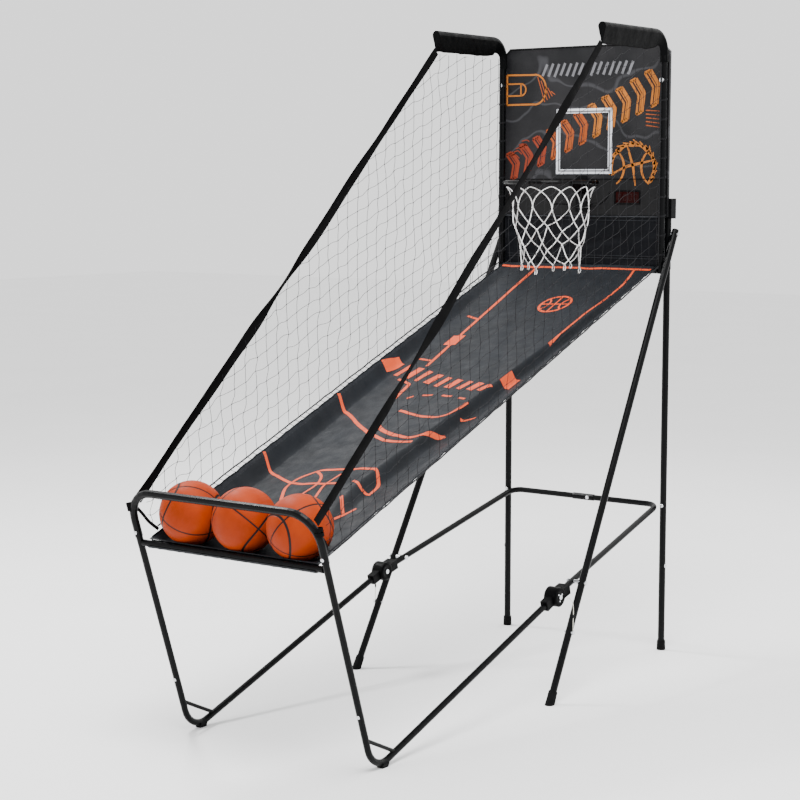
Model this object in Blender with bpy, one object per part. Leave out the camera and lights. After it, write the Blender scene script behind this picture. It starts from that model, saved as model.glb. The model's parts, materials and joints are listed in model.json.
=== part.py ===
"""Folding arcade basketball game: steel tube frame, fabric ramp, side nets, backboard,
hoop, electronic scorer and three balls.  Metres, +Z up, player stands at -Y.
The origin is on the floor, in the middle of the game's footprint."""

import math

import bmesh
import bpy
from mathutils import Matrix, Vector

# ---------------------------------------------------------------- driving sizes
GAP = 0.0003                # between pieces that touch
SIDES = (("right", 1), ("left", -1))

# Tubes: outer radii, wall, and the sides that a round tube is drawn with
LEG_R = 0.011
BAR_R = 0.0095
MAT_BAR_R = 0.008
WALL = 0.0012
TUBE_SIDES = 12
FACET = 1 / math.cos(math.pi / TUBE_SIDES)   # a drawn circle's corner over its flat
SPLICE_R = LEG_R + GAP + WALL          # tube that slips over a leg
RAIL_R = BAR_R + GAP + WALL            # tube that slips over a front leg

# Balls: three lie side by side, and the game is as wide as they need
BALL_R = 0.089
BALL_WALL = 0.003
BALL_SPACING = 0.011        # between two stored balls
BALL_PITCH = 2 * BALL_R + BALL_SPACING
BAR_CLEARANCE = 0.006       # ball to the front crossbar, with the mat between them
RAIL_CLEARANCE = 0.024      # ball to the front rail
BALL_REST = 0.00245         # room below a ball that lies on the sloping mat
VALVE_R = 0.004
BALL_SIDES = 20
SIDE_ROOM = 0.030           # outer ball to the middle plane of an upright

# Overall layout, from the plane of the rear legs (Y) and from the floor (Z)
RAIL_REACH = 1.872          # rear legs to the front rail
RAIL_HEIGHT = 0.722
UPRIGHT_TOP = 2.025         # centre of the arms
ARM_REACH = 0.440
REAR_INSET = 0.0025         # rear legs stand this far inside the uprights
FRONT_OUTSET = 0.017        # front legs stand this far outside the uprights
UPRIGHT_HALF = BALL_PITCH + BALL_R + SIDE_ROOM      # middle plane to an upright
REAR_HALF = UPRIGHT_HALF - REAR_INSET
FRONT_HALF = UPRIGHT_HALF + FRONT_OUTSET

# Rear frame
CAP_R = 0.0145
CAP_HEIGHT = 0.032
CAP_FLOOR = 0.005
SPLICE_HEIGHT = 1.270
SPLICE_DEPTH = 0.045
LEG_TOP = 1.495
UPRIGHT_SETBACK = 0.0475    # uprights stand this far in front of the rear legs
UPRIGHT_FOOT = 1.258
ELBOW_RADIUS = 0.060
FOOT_OUTSET = 0.0585        # diagonal leg's foot outside the rear leg
FOOT_SPLAY = REAR_HALF + FOOT_OUTSET
FOOT_REACH = 0.803
DIAGONAL_BOLT_HEIGHT = 1.385
DIAGONAL_OVERRUN = 0.016    # leg beyond its bolt
BOLT_COLLAR = 0.002
REAR_BAR_HEIGHT = 0.488
REAR_BAR_RADIUS = 0.040
SLEEVE_LENGTH = 0.080

# Fold hinge
KNUCKLE_REACH = 0.717
KNUCKLE_HEIGHT = 0.310
KNUCKLE_R = 0.030
KNUCKLE_LENGTH = 0.062
KNUCKLE_NECK = 0.015
TONGUE_HALF = 0.012
CHEEK = 0.0067
PIN_R = 0.004
HEAD_R = 0.0075
HEAD_T = 0.004

# Front frame
LEG_LEAN = math.radians(18.3)
BEND_RADIUS = 0.070
PAD_THICK = 0.004
PAD_LENGTH = 0.026
RAIL_CORNER = 0.085
SOCKET_HEIGHT = 0.592
SOCKET_DEPTH = 0.045
FRONT_BAR_HEIGHT = 0.574
BRACE_R = 0.0055
BRACE_TOP = 0.092
BRACE_RUN = 0.132

# Lock pins and their lanyards
LOCK_HEIGHT = 0.199
LOCK_R = 0.003
LOCK_HEAD_R = 0.007
LOCK_HEAD_T = 0.006
CORD_R = 0.001

# Backboard and scorer
BOARD_OVERHANG = 0.012      # board beyond the middle plane of an upright
BOARD_WIDTH = 2 * (UPRIGHT_HALF + BOARD_OVERHANG)
BOARD_BOTTOM = 1.441
BOARD_DROP = 0.022          # board top below the arms
BOARD_TOP = UPRIGHT_TOP - BOARD_DROP
BOARD_T = 0.012
BOARD_CHAMFER = 0.030
BOARD_BOLT_DROP = 0.123     # bolt below the board's top
BOARD_BOLT_HEIGHT = BOARD_TOP - BOARD_BOLT_DROP
WINDOW = (0.128, 0.215, 1.486, 1.523)      # x low, x high, z low, z high
WINDOW_T = 0.003
HOUSING = (0.092, 0.252, 1.452, 1.558)
HOUSING_DEPTH = 0.030
HOUSING_WALL = 0.0025
COVER = (0.104, 0.160, 1.470, 1.540)
BUTTON_R = 0.0055
BUTTON_LIP = 0.002
BUTTON_PROUD = 0.0025
BUTTON_X = 0.190
BUTTON_Z = 1.480
SPEAKER_R = 0.014
SPEAKER_T = 0.008
CLAMP_HALF = 0.0225
CLAMP_HEIGHT = 0.065

# Hoop
RING_R = 0.150
RING_TUBE = 0.0065
RING_HEIGHT = 1.554
RING_REACH = 0.150          # board face to the ring's near edge, plus its tube
BRACKET_HALF = 0.022
BRACKET_T = 0.006
LEVER_R = 0.0025
LEVER_HEIGHT = 1.470
NET_LENGTH = 0.283
NET_TOP_R = 0.150
NET_BOTTOM_R = 0.070
NET_WALL = 0.004

# Fabric
MAT_INSET = 0.016           # mat's edge inside the middle plane of an upright
MAT_HALF = UPRIGHT_HALF - MAT_INSET
MAT_T = 0.004
MAT_CURL = 85.89            # how sharply the mat turns down behind the crossbar, per metre
MAT_ROW = 0.0083            # widest step between the rows drawn where it turns down
MAT_BAR_HEIGHT = 1.268
MAT_TILT_SPARE = math.radians(4.81)  # the bar is met this much steeper than the mat
SHEET_T = 0.003
SLEEVE_HALF = 0.0145
SLEEVE_UP = 0.0165
SLEEVE_DOWN = 0.052
SLEEVE_TAIL = 0.090         # sleeve's lower end below the arm
SLEEVE_END = UPRIGHT_TOP - SLEEVE_TAIL
PANEL_BOTTOM = 1.292

# ---------------------------------------------------------------- derived places
REAR_Y = (RAIL_REACH + RAIL_R - CAP_R) / 2     # rear legs' plane, footprint centred
UPRIGHT_Y = -UPRIGHT_SETBACK
BOARD_FRONT = UPRIGHT_Y + SLEEVE_UP + GAP
BOARD_BACK = BOARD_FRONT + BOARD_T
HOUSING_BACK = BOARD_BACK + GAP + HOUSING_DEPTH
RING_Y = BOARD_FRONT - RING_REACH - RING_R / 3


def leg_line(height):
    """Distance in Y of the leaning front leg at a height."""
    return -RAIL_REACH + (RAIL_HEIGHT - height) * math.tan(LEG_LEAN)


def ball_centre():
    """Y and Z of a stored ball, from its distances to the rail and the crossbar."""
    low = Vector((leg_line(FRONT_BAR_HEIGHT), FRONT_BAR_HEIGHT))
    high = Vector((leg_line(RAIL_HEIGHT), RAIL_HEIGHT))
    to_low = BALL_R + BAR_CLEARANCE + BAR_R
    to_high = BALL_R + RAIL_CLEARANCE + RAIL_R
    span = (high - low).length
    along = (to_low ** 2 - to_high ** 2 + span ** 2) / (2 * span)
    out = math.sqrt(to_low ** 2 - along ** 2)
    up = (high - low) / span
    return low + up * along + Vector((up.y, -up.x)) * out


def mat_sag():
    """Depth of the mat below its hems that gives the stored balls their bed."""
    centre = ball_centre()
    front = leg_line(FRONT_BAR_HEIGHT)
    low = FRONT_BAR_HEIGHT + BAR_R + GAP + MAT_T
    high = MAT_BAR_HEIGHT + MAT_BAR_R + GAP + MAT_T
    run = UPRIGHT_Y - front
    share = (centre.x - front) / run
    slant = math.hypot(1, (high - low) / run)
    return low + (high - low) * share - centre.y + BALL_R * slant + BALL_REST


MAT_SAG = mat_sag()
MAT_POCKET = math.sqrt(3 * MAT_SAG / MAT_CURL)     # length over which it drops
MAT_RUN = UPRIGHT_Y - leg_line(FRONT_BAR_HEIGHT)
MAT_TILT = math.atan((MAT_BAR_HEIGHT - FRONT_BAR_HEIGHT + 3 * MAT_SAG) / MAT_RUN) + MAT_TILT_SPARE


def at(x, y, z):
    """World point from a place counted from the rear legs' plane."""
    return Vector((x, REAR_Y + y, z))


# ---------------------------------------------------------------- scene and materials
for old in list(bpy.data.objects):
    bpy.data.objects.remove(old, do_unlink=True)

FINISHES = {
    "black_steel": ((0.012, 0.013, 0.015), 0.32, 0.0),
    "rubber": ((0.02, 0.02, 0.021), 0.75, 0.0),
    "black_plastic": ((0.018, 0.018, 0.02), 0.45, 0.0),
    "chrome": ((0.78, 0.79, 0.8), 0.18, 1.0),
    "board": ((0.05, 0.052, 0.06), 0.5, 0.0),
    "red_window": ((0.12, 0.006, 0.006), 0.12, 0.0),
    "circuit": ((0.03, 0.14, 0.05), 0.5, 0.0),
    "fabric": ((0.035, 0.04, 0.048), 0.8, 0.0),
    "net_cord": ((0.03, 0.03, 0.035), 0.85, 0.0),
    "hoop_cord": ((0.8, 0.8, 0.78), 0.8, 0.0),
    "clear_cord": ((0.75, 0.74, 0.68), 0.4, 0.0),
    "ball_orange": ((0.72, 0.16, 0.05), 0.55, 0.0),
}


def make_material(name, colour, roughness, metallic):
    mat = bpy.data.materials.new(name)
    mat.use_nodes = True
    shader = mat.node_tree.nodes["Principled BSDF"]
    shader.inputs["Base Color"].default_value = (*colour, 1.0)
    shader.inputs["Roughness"].default_value = roughness
    shader.inputs["Metallic"].default_value = metallic
    mat.diffuse_color = (*colour, 1.0)
    return mat


MATERIALS = {}
for finish_name, finish in FINISHES.items():
    MATERIALS[finish_name] = make_material(finish_name, *finish)


def add_empty(name, place):
    """A joint's axis: the moving pieces are parented to it."""
    empty = bpy.data.objects.new(name, None)
    empty.location = place
    bpy.context.collection.objects.link(empty)
    return empty


def add_object(name, bm, finish, pivot=None):
    """Turn a world-space bmesh into an object, with its origin on its pivot."""
    bmesh.ops.recalc_face_normals(bm, faces=bm.faces)
    origin = pivot.location.copy() if pivot else Vector((0, 0, 0))
    bmesh.ops.translate(bm, verts=bm.verts, vec=-origin)
    mesh = bpy.data.meshes.new(name)
    bm.to_mesh(mesh)
    bm.free()
    mesh.shade_smooth()
    mesh.set_sharp_from_angle(angle=math.radians(35))
    obj = bpy.data.objects.new(name, mesh)
    obj.parent = pivot
    if finish:
        mesh.materials.append(MATERIALS[finish])
    bpy.context.collection.objects.link(obj)
    return obj


# ---------------------------------------------------------------- shapes
def arc_points(centre, radius, start, end, steps):
    """Points (y, z) on an arc, angles in radians."""
    points = []
    for step in range(steps + 1):
        angle = start + (end - start) * step / steps
        points.append((centre[0] + radius * math.cos(angle),
                       centre[1] + radius * math.sin(angle)))
    return points


def rounded_path(corners, radius, steps=6):
    """Straight runs through 3-D corners, each inner corner turned on a radius."""
    path = [corners[0]]
    for before, corner, after in zip(corners, corners[1:], corners[2:]):
        inward = (before - corner).normalized()
        outward = (after - corner).normalized()
        half = inward.angle(outward) / 2
        centre = corner + (inward + outward).normalized() * (radius / math.sin(half))
        start = corner + inward * (radius / math.tan(half)) - centre
        end = corner + outward * (radius / math.tan(half)) - centre
        axis = start.cross(end).normalized()
        turn = math.pi - 2 * half
        for step in range(steps + 1):
            path.append(centre + Matrix.Rotation(turn * step / steps, 3, axis) @ start)
    path.append(corners[-1])
    return path


def path_frames(path, side):
    """A square cross-section frame at each point, carried along the path."""
    frames = []
    normal = side.normalized()
    for index, point in enumerate(path):
        ahead = path[min(index + 1, len(path) - 1)] - point
        behind = point - path[max(index - 1, 0)]
        tangent = (ahead.normalized() + behind.normalized()).normalized()
        normal = (normal - tangent * normal.dot(tangent)).normalized()
        frames.append((point, normal, tangent.cross(normal)))
    return frames


def circle_profile(radius, sides=TUBE_SIDES):
    return [(radius * math.cos(2 * math.pi * i / sides),
             radius * math.sin(2 * math.pi * i / sides)) for i in range(sides)]


def sweep(path, outer, inner=None, side=Vector((1, 0, 0))):
    """Sweep a closed profile along a path, hollow when an inner profile is given."""
    bm = bmesh.new()
    frames = path_frames(path, side)
    loops = []
    for profile in (outer, inner):
        if profile is None:
            continue
        rings = []
        for point, normal, binormal in frames:
            rings.append([bm.verts.new(point + normal * a + binormal * b) for a, b in profile])
        loops.append(rings)
    count = len(outer)
    for rings in loops:
        for ring, following in zip(rings, rings[1:]):
            for i in range(count):
                j = (i + 1) % count
                bm.faces.new((ring[i], ring[j], following[j], following[i]))
    for end in (0, -1):
        if inner is None:
            bm.faces.new(loops[0][end])
            continue
        for i in range(count):
            j = (i + 1) % count
            bm.faces.new((loops[0][end][i], loops[0][end][j],
                          loops[1][end][j], loops[1][end][i]))
    return bm


def tube(path, radius, side=Vector((1, 0, 0)), wall=WALL):
    return sweep(path, circle_profile(radius), circle_profile(radius - wall), side)


def lathe(profile, place, axis, sides=TUBE_SIDES, closed=False):
    """Turn a profile of (distance along the axis, radius); radius 0 is a pole."""
    bm = bmesh.new()
    turn = axis.normalized().to_track_quat("Z", "Y").to_matrix()
    rings = []
    for along, radius in profile:
        if radius == 0:
            rings.append([bm.verts.new(place + turn @ Vector((0, 0, along)))])
            continue
        ring = []
        for a, b in circle_profile(radius, sides):
            ring.append(bm.verts.new(place + turn @ Vector((a, b, along))))
        rings.append(ring)
    pairs = list(zip(rings, rings[1:]))
    if closed:
        pairs.append((rings[-1], rings[0]))
    for ring, following in pairs:
        for i in range(sides):
            j = (i + 1) % sides
            corners = [ring[i % len(ring)], ring[j % len(ring)],
                       following[j % len(following)], following[i % len(following)]]
            bm.faces.new(list(dict.fromkeys(corners)))
    if not closed:
        for ring in (rings[0], rings[-1]):
            if len(ring) > 1:
                bm.faces.new(ring)
    return bm


def box(low, high):
    bm = bmesh.new()
    bmesh.ops.create_cube(bm, size=1.0)
    size = high - low
    bmesh.ops.scale(bm, verts=bm.verts, vec=size)
    bmesh.ops.translate(bm, verts=bm.verts, vec=(low + high) / 2)
    return bm


def plate(outline, low_x, high_x):
    """Extrude a (y, z) outline, counted from the rear legs' plane, along X."""
    bm = bmesh.new()
    near = [bm.verts.new(at(low_x, y, z)) for y, z in outline]
    far = [bm.verts.new(at(high_x, y, z)) for y, z in outline]
    bm.faces.new(near)
    bm.faces.new(far)
    count = len(outline)
    for i in range(count):
        j = (i + 1) % count
        bm.faces.new((near[i], near[j], far[j], far[i]))
    return bm


def combine(target, bm, operation):
    """Boolean a helper shape into a piece; the helper itself is not part of the model."""
    helper = add_object(target.name + "_cutter", bm, None)
    helper.hide_render = True
    helper.display_type = "WIRE"
    modifier = target.modifiers.new(operation.lower(), "BOOLEAN")
    modifier.operation = operation
    modifier.solver = "EXACT"
    modifier.object = helper


def drill(target, place, axis, radius, length):
    half = length / 2
    combine(target, lathe([(-half, radius), (half, radius)], place, axis), "DIFFERENCE")


def bolt(name, place, axis, spans, pivot=None, finish="chrome"):
    """A turned fastener from (along, radius) steps, its first and last faces flat."""
    profile = []
    for start, end, radius in spans:
        profile += [(start, radius), (end, radius)]
    return add_object(name, lathe(profile, place, axis), finish, pivot)


# ---------------------------------------------------------------- rear frame
def rear_leg(tag, side):
    x = side * REAR_HALF
    path = [at(x, 0, CAP_FLOOR), at(x, 0, SPLICE_HEIGHT + SPLICE_DEPTH)]
    add_object(f"rear_leg_{tag}", tube(path, LEG_R), "black_steel")
    cup = [(0, CAP_R), (CAP_HEIGHT, CAP_R - 0.001), (CAP_HEIGHT, LEG_R + GAP),
           (CAP_FLOOR - GAP, LEG_R + GAP)]
    add_object(f"rear_foot_cap_{tag}", lathe(cup, at(x, 0, 0), Vector((0, 0, 1))), "rubber")
    path = [at(x, 0, SPLICE_HEIGHT), at(x, 0, LEG_TOP)]
    return add_object(f"rear_leg_top_{tag}", tube(path, SPLICE_R), "black_steel")


def leg_clamp(tag, side):
    """Moulded block that caps a rear leg and carries the backboard's corner."""
    x = side * REAR_HALF
    top = LEG_TOP + 0.006
    low = at(x - CLAMP_HALF, BOARD_BACK + GAP, top - CLAMP_HEIGHT)
    high = at(x + CLAMP_HALF, SPLICE_R + 0.0015, top)
    block = add_object(f"leg_clamp_{tag}", box(low, high), "black_plastic")
    depth = 0.2
    middle = LEG_TOP + GAP - depth / 2
    drill(block, at(x, 0, middle), Vector((0, 0, 1)), SPLICE_R + GAP, depth)


def upright_path(tip, foot):
    return rounded_path([at(0, tip, UPRIGHT_TOP), at(0, UPRIGHT_Y, UPRIGHT_TOP),
                         at(0, UPRIGHT_Y, foot)], ELBOW_RADIUS)


def upright(tag, side):
    shift = Vector((side * UPRIGHT_HALF, 0, 0))
    path = [point + shift for point in upright_path(-ARM_REACH, UPRIGHT_FOOT)]
    return add_object(f"upright_arm_{tag}", tube(path, LEG_R), "black_steel")


def diagonal_line(side):
    """Foot point on the floor and the unit direction of a diagonal leg."""
    bolt_x = REAR_HALF + SPLICE_R + BOLT_COLLAR + LEG_R
    foot = at(side * FOOT_SPLAY, -FOOT_REACH, 0)
    bolt_place = at(side * bolt_x, 0, DIAGONAL_BOLT_HEIGHT)
    return foot, bolt_place, (bolt_place - foot).normalized()


def point_at_height(side, height):
    foot, bolt_place, direction = diagonal_line(side)
    return foot + direction * (height / direction.z)


def diagonal_leg(tag, side, leg_top):
    foot, bolt_place, direction = diagonal_line(side)
    inset = 0.014
    path = [foot + direction * inset, bolt_place + direction * DIAGONAL_OVERRUN]
    leg = add_object(f"diagonal_leg_{tag}", tube(path, LEG_R), "black_steel")
    foot_cup(tag, foot, direction, inset)
    outward = Vector((side, 0, 0))
    for piece in (leg, leg_top):
        drill(piece, bolt_place, outward, PIN_R + GAP, 0.1)
    rim = LEG_R + GAP
    inner = -(LEG_R + BOLT_COLLAR + 2 * SPLICE_R)
    spans = [(inner - GAP - HEAD_T, inner - GAP, HEAD_R),
             (inner - GAP, -rim - BOLT_COLLAR + 2 * GAP, PIN_R),
             (-rim - BOLT_COLLAR + 2 * GAP, -rim, HEAD_R),
             (-rim, rim, PIN_R), (rim, rim + HEAD_T, HEAD_R)]
    bolt(f"top_bolt_{tag}", bolt_place, outward, spans)
    return leg


def foot_cup(tag, foot, direction, inset):
    """Rubber tip in line with the leg, with its sole flat on the floor."""
    bm = bmesh.new()
    turn = direction.to_track_quat("Z", "Y").to_matrix()
    rings = []
    for along, radius in ((0, CAP_R), (CAP_HEIGHT + 0.01, CAP_R - 0.001),
                          (CAP_HEIGHT + 0.01, LEG_R + GAP), (inset - GAP, LEG_R + GAP)):
        ring = []
        for a, b in circle_profile(radius):
            point = foot + turn @ Vector((a, b, along))
            if along == 0:
                point -= direction * (point.z / direction.z)
                point.z = 0.0
            ring.append(bm.verts.new(point))
        rings.append(ring)
    for ring, following in zip(rings, rings[1:]):
        for i in range(TUBE_SIDES):
            j = (i + 1) % TUBE_SIDES
            bm.faces.new((ring[i], ring[j], following[j], following[i]))
    bm.faces.new(rings[0])
    bm.faces.new(rings[-1])
    add_object(f"diagonal_foot_cap_{tag}", bm, "rubber")


def side_bar_line(side):
    """Knuckle point, inner rear corner and unit direction of a rear side bar."""
    knuckle = at(side * FRONT_HALF, -KNUCKLE_REACH, KNUCKLE_HEIGHT)
    corner_x = REAR_HALF - LEG_R - BAR_R - 2 * GAP
    corner = at(side * corner_x, 0, REAR_BAR_HEIGHT)
    return knuckle, corner, (corner - knuckle).normalized()


def rear_side_bar(tag, side):
    knuckle, corner, direction = side_bar_line(side)
    start = knuckle + direction * (KNUCKLE_R + KNUCKLE_NECK / 2)
    end = at(side * GAP, 0, REAR_BAR_HEIGHT)
    path = rounded_path([start, corner, end], REAR_BAR_RADIUS)
    return add_object(f"rear_side_bar_{tag}", tube(path, BAR_R, Vector((0, 0, 1))), "black_steel")


def cross_bolt(tag, side, bar, leg):
    """Bolt and spacer where a side bar passes inside its diagonal leg."""
    knuckle, corner, along = side_bar_line(side)
    foot, bolt_place, lean = diagonal_line(side)
    rise_bar = along.z / along.y
    rise_leg = lean.z / lean.y
    y = (foot.y * rise_leg - knuckle.y * rise_bar + knuckle.z) / (rise_leg - rise_bar)
    bar_place = knuckle + along * ((y - knuckle.y) / along.y)
    leg_place = foot + lean * ((y - foot.y) / lean.y)
    outward = Vector((side, 0, 0))
    spread = abs(leg_place.x - bar_place.x)
    for piece, place in ((bar, bar_place), (leg, leg_place)):
        drill(piece, place, outward, PIN_R + GAP, 0.05)
    bar_rim = BAR_R / math.sqrt(along.y ** 2 + along.z ** 2) + GAP
    leg_rim = LEG_R / math.sqrt(lean.y ** 2 + lean.z ** 2) + GAP
    slope_room = HEAD_R * abs(along.x) / abs(along.y)
    spans = [(-bar_rim - slope_room - HEAD_T, -bar_rim - slope_room, HEAD_R),
             (-bar_rim - slope_room, bar_rim + slope_room, PIN_R),
             (bar_rim + slope_room, spread - leg_rim - GAP, HEAD_R),
             (spread - leg_rim - GAP, spread + leg_rim + GAP, PIN_R),
             (spread + leg_rim + GAP, spread + leg_rim + GAP + HEAD_T, HEAD_R)]
    bolt(f"cross_bolt_{tag}", bar_place, outward, spans)


def rear_bar_sleeve():
    half = SLEEVE_LENGTH / 2
    path = [at(-half, 0, REAR_BAR_HEIGHT), at(half, 0, REAR_BAR_HEIGHT)]
    radius = (BAR_R + GAP) * FACET + WALL
    add_object("rear_bar_sleeve", tube(path, radius, Vector((0, 0, 1))), "black_steel")


def mat_rear_bar():
    half = UPRIGHT_HALF - LEG_R - GAP
    path = [at(-half, UPRIGHT_Y, MAT_BAR_HEIGHT), at(half, UPRIGHT_Y, MAT_BAR_HEIGHT)]
    add_object("mat_rear_bar", tube(path, MAT_BAR_R, Vector((0, 0, 1))), "black_steel")


# ---------------------------------------------------------------- fold hinge
def knuckle_outline(direction_yz, length):
    """Round hub with a neck that runs out along a bar, as a (y, z) outline."""
    y0, z0 = -KNUCKLE_REACH, KNUCKLE_HEIGHT
    heading = math.atan2(direction_yz[1], direction_yz[0])
    spread = math.pi - math.asin(KNUCKLE_NECK / KNUCKLE_R)
    outline = arc_points((y0, z0), KNUCKLE_R, heading + math.pi - spread,
                         heading + math.pi + spread, 18)
    for offset in (-KNUCKLE_NECK, KNUCKLE_NECK):
        outline.append((y0 + length * math.cos(heading) - offset * math.sin(heading),
                        z0 + length * math.sin(heading) + offset * math.cos(heading)))
    return outline


def knuckle_fork(tag, side):
    knuckle, corner, direction = side_bar_line(side)
    half = TONGUE_HALF + GAP + CHEEK
    low, high = side * FRONT_HALF - half, side * FRONT_HALF + half
    outline = knuckle_outline((direction.y, direction.z), KNUCKLE_LENGTH)
    fork = add_object(f"knuckle_fork_{tag}", plate(outline, low, high), "black_plastic")
    across = Vector((1, 0, 0))
    drill(fork, knuckle, across, (KNUCKLE_R + 0.001) * FACET, 2 * (TONGUE_HALF + GAP))
    drill(fork, knuckle, across, PIN_R + GAP, 0.1)
    bore = KNUCKLE_LENGTH
    start = KNUCKLE_R + KNUCKLE_NECK / 2 - GAP
    drill(fork, knuckle + direction * (start + bore / 2), direction, BAR_R + GAP, bore)


def knuckle_tongue(tag, side, pivot, direction):
    knuckle = side_bar_line(side)[0]
    low, high = side * FRONT_HALF - TONGUE_HALF, side * FRONT_HALF + TONGUE_HALF
    outline = knuckle_outline((direction.y, direction.z), KNUCKLE_LENGTH)
    tongue = add_object(f"knuckle_tongue_{tag}", plate(outline, low, high), "black_plastic", pivot)
    drill(tongue, knuckle, Vector((1, 0, 0)), PIN_R + GAP, 0.1)
    bore = KNUCKLE_LENGTH
    start = KNUCKLE_R + KNUCKLE_NECK / 2 - GAP
    drill(tongue, knuckle + direction * (start + bore / 2), direction, BAR_R + GAP, bore)


def knuckle_pin(tag, side):
    half = TONGUE_HALF + 2 * GAP + CHEEK
    spans = [(-half - HEAD_T, -half, HEAD_R), (-half, half, PIN_R), (half, half + HEAD_T, HEAD_R)]
    bolt(f"knuckle_pin_{tag}", side_bar_line(side)[0], Vector((side, 0, 0)), spans)


# ---------------------------------------------------------------- front frame
def bend_circle():
    """Centre of the floor bend, and the climb of the bar from it to the knuckle."""
    height = PAD_THICK + BAR_R + GAP + BEND_RADIUS
    centre = (leg_line(height) + BEND_RADIUS / math.cos(LEG_LEAN), height)
    run, rise = -KNUCKLE_REACH - centre[0], KNUCKLE_HEIGHT - centre[1]
    climb = math.atan2(rise, run) + math.asin(BEND_RADIUS / math.hypot(run, rise))
    return centre, climb


def front_leg(tag, side, pivot):
    x = side * FRONT_HALF
    centre, climb = bend_circle()
    top = SOCKET_HEIGHT + SOCKET_DEPTH
    bend = arc_points(centre, BEND_RADIUS, math.pi + LEG_LEAN, 1.5 * math.pi + climb, 10)
    knuckle = at(x, -KNUCKLE_REACH, KNUCKLE_HEIGHT)
    back = Vector((0, math.cos(climb), math.sin(climb)))
    end = knuckle - back * (KNUCKLE_R + KNUCKLE_NECK / 2)
    path = [at(x, leg_line(top), top)] + [at(x, y, z) for y, z in bend] + [end]
    leg = add_object(f"front_leg_{tag}", tube(path, BAR_R), "black_steel", pivot)
    brace_start = at(x, leg_line(BRACE_TOP), BRACE_TOP)
    reach = (brace_start.y + BRACE_RUN - knuckle.y) / back.y
    brace_end = knuckle + back * reach
    combine(leg, sweep([brace_start, brace_end], circle_profile(BRACE_R, 10)), "UNION")
    knuckle_tongue(tag, side, pivot, -back)
    half_turn = PAD_LENGTH / 2 / BEND_RADIUS
    sole = arc_points(centre, BEND_RADIUS, 1.5 * math.pi - half_turn,
                      1.5 * math.pi + half_turn, 6)
    floor_pad(tag, x, sole, pivot)


def floor_pad(tag, x, sole, pivot):
    """Rubber saddle under the bend, flat where it stands on the floor."""
    inner = BAR_R + GAP
    outer = BAR_R + 0.0035
    bm = bmesh.new()
    angles = [math.pi + math.pi * step / 8 for step in range(9)]
    rings = []
    for y, z in sole:
        ring = [bm.verts.new(at(x + inner * math.cos(a), y, z + inner * math.sin(a)))
                for a in angles]
        for a in reversed(angles):
            height = 0.0 if math.sin(a) < -0.6 else z + outer * math.sin(a)
            ring.append(bm.verts.new(at(x + outer * math.cos(a), y, height)))
        rings.append(ring)
    count = len(rings[0])
    for ring, following in zip(rings, rings[1:]):
        for i in range(count):
            j = (i + 1) % count
            bm.faces.new((ring[i], ring[j], following[j], following[i]))
    bm.faces.new(rings[0])
    bm.faces.new(rings[-1])
    add_object(f"floor_pad_{tag}", bm, "rubber", pivot)


def front_rail(pivot):
    corners = []
    for side in (1, -1):
        ends = [at(side * FRONT_HALF, leg_line(SOCKET_HEIGHT), SOCKET_HEIGHT),
                at(side * FRONT_HALF, leg_line(RAIL_HEIGHT), RAIL_HEIGHT)]
        corners += ends if side == 1 else ends[::-1]
    path = rounded_path(corners, RAIL_CORNER, 7)
    side_axis = Vector((0, math.cos(LEG_LEAN), math.sin(LEG_LEAN)))
    add_object("front_rail", tube(path, RAIL_R, side_axis), "black_steel", pivot)


def front_crossbar(pivot):
    half = FRONT_HALF - BAR_R - GAP
    y = leg_line(FRONT_BAR_HEIGHT)
    path = [at(-half, y, FRONT_BAR_HEIGHT), at(half, y, FRONT_BAR_HEIGHT)]
    add_object("front_crossbar", tube(path, BAR_R, Vector((0, 0, 1))), "black_steel", pivot)


# ---------------------------------------------------------------- lock pins and lanyards
def lock_pin(tag, side, leg):
    place = point_at_height(side, LOCK_HEIGHT)
    direction = diagonal_line(side)[2]
    outward = Vector((side, 0, 0))
    rim = LEG_R / math.sqrt(direction.y ** 2 + direction.z ** 2) + GAP
    drill(leg, place, outward, LOCK_R + GAP, 0.05)
    pivot = add_empty(f"lock_pin_axis_{tag}", place)
    spans = [(-rim - 0.004, rim, LOCK_R), (rim, rim + LOCK_HEAD_T, LOCK_HEAD_R)]
    bolt(f"lock_pin_{tag}", place, outward, spans, pivot)


def catmull_rom(points, spacing):
    """Evenly spaced points on a smooth curve through a few chosen ones."""
    fine = []
    padded = [2 * points[0] - points[1]] + points + [2 * points[-1] - points[-2]]
    for a, b, c, d in zip(padded, padded[1:], padded[2:], padded[3:]):
        for step in range(24):
            t = step / 24
            fine.append(0.5 * (2 * b + (c - a) * t + (2 * a - 5 * b + 4 * c - d) * t ** 2
                               + (3 * b - a - 3 * c + d) * t ** 3))
    fine.append(points[-1])
    route = [fine[0]]
    for point in fine[1:-1]:
        if (point - route[-1]).length >= spacing:
            route.append(point)
    if (fine[-1] - route[-1]).length < spacing / 2:
        route.pop()
    route.append(fine[-1])
    return route


# A lanyard's own points: out from the knuckle, then down to its pin's head.
# x is counted outwards from a front leg, y from the rear legs' plane.
LANYARD_ROUTE = ((0.0193, -0.678, 0.3010), (0.0250, -0.678, 0.3012), (0.0320, -0.678, 0.2990),
                 (0.0390, -0.679, 0.2930), (0.0440, -0.681, 0.2830), (0.0472, -0.684, 0.2680),
                 (0.0486, -0.686, 0.2500), (0.0488, -0.6875, 0.2300), (0.0488, -0.6876, 0.2064))


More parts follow.
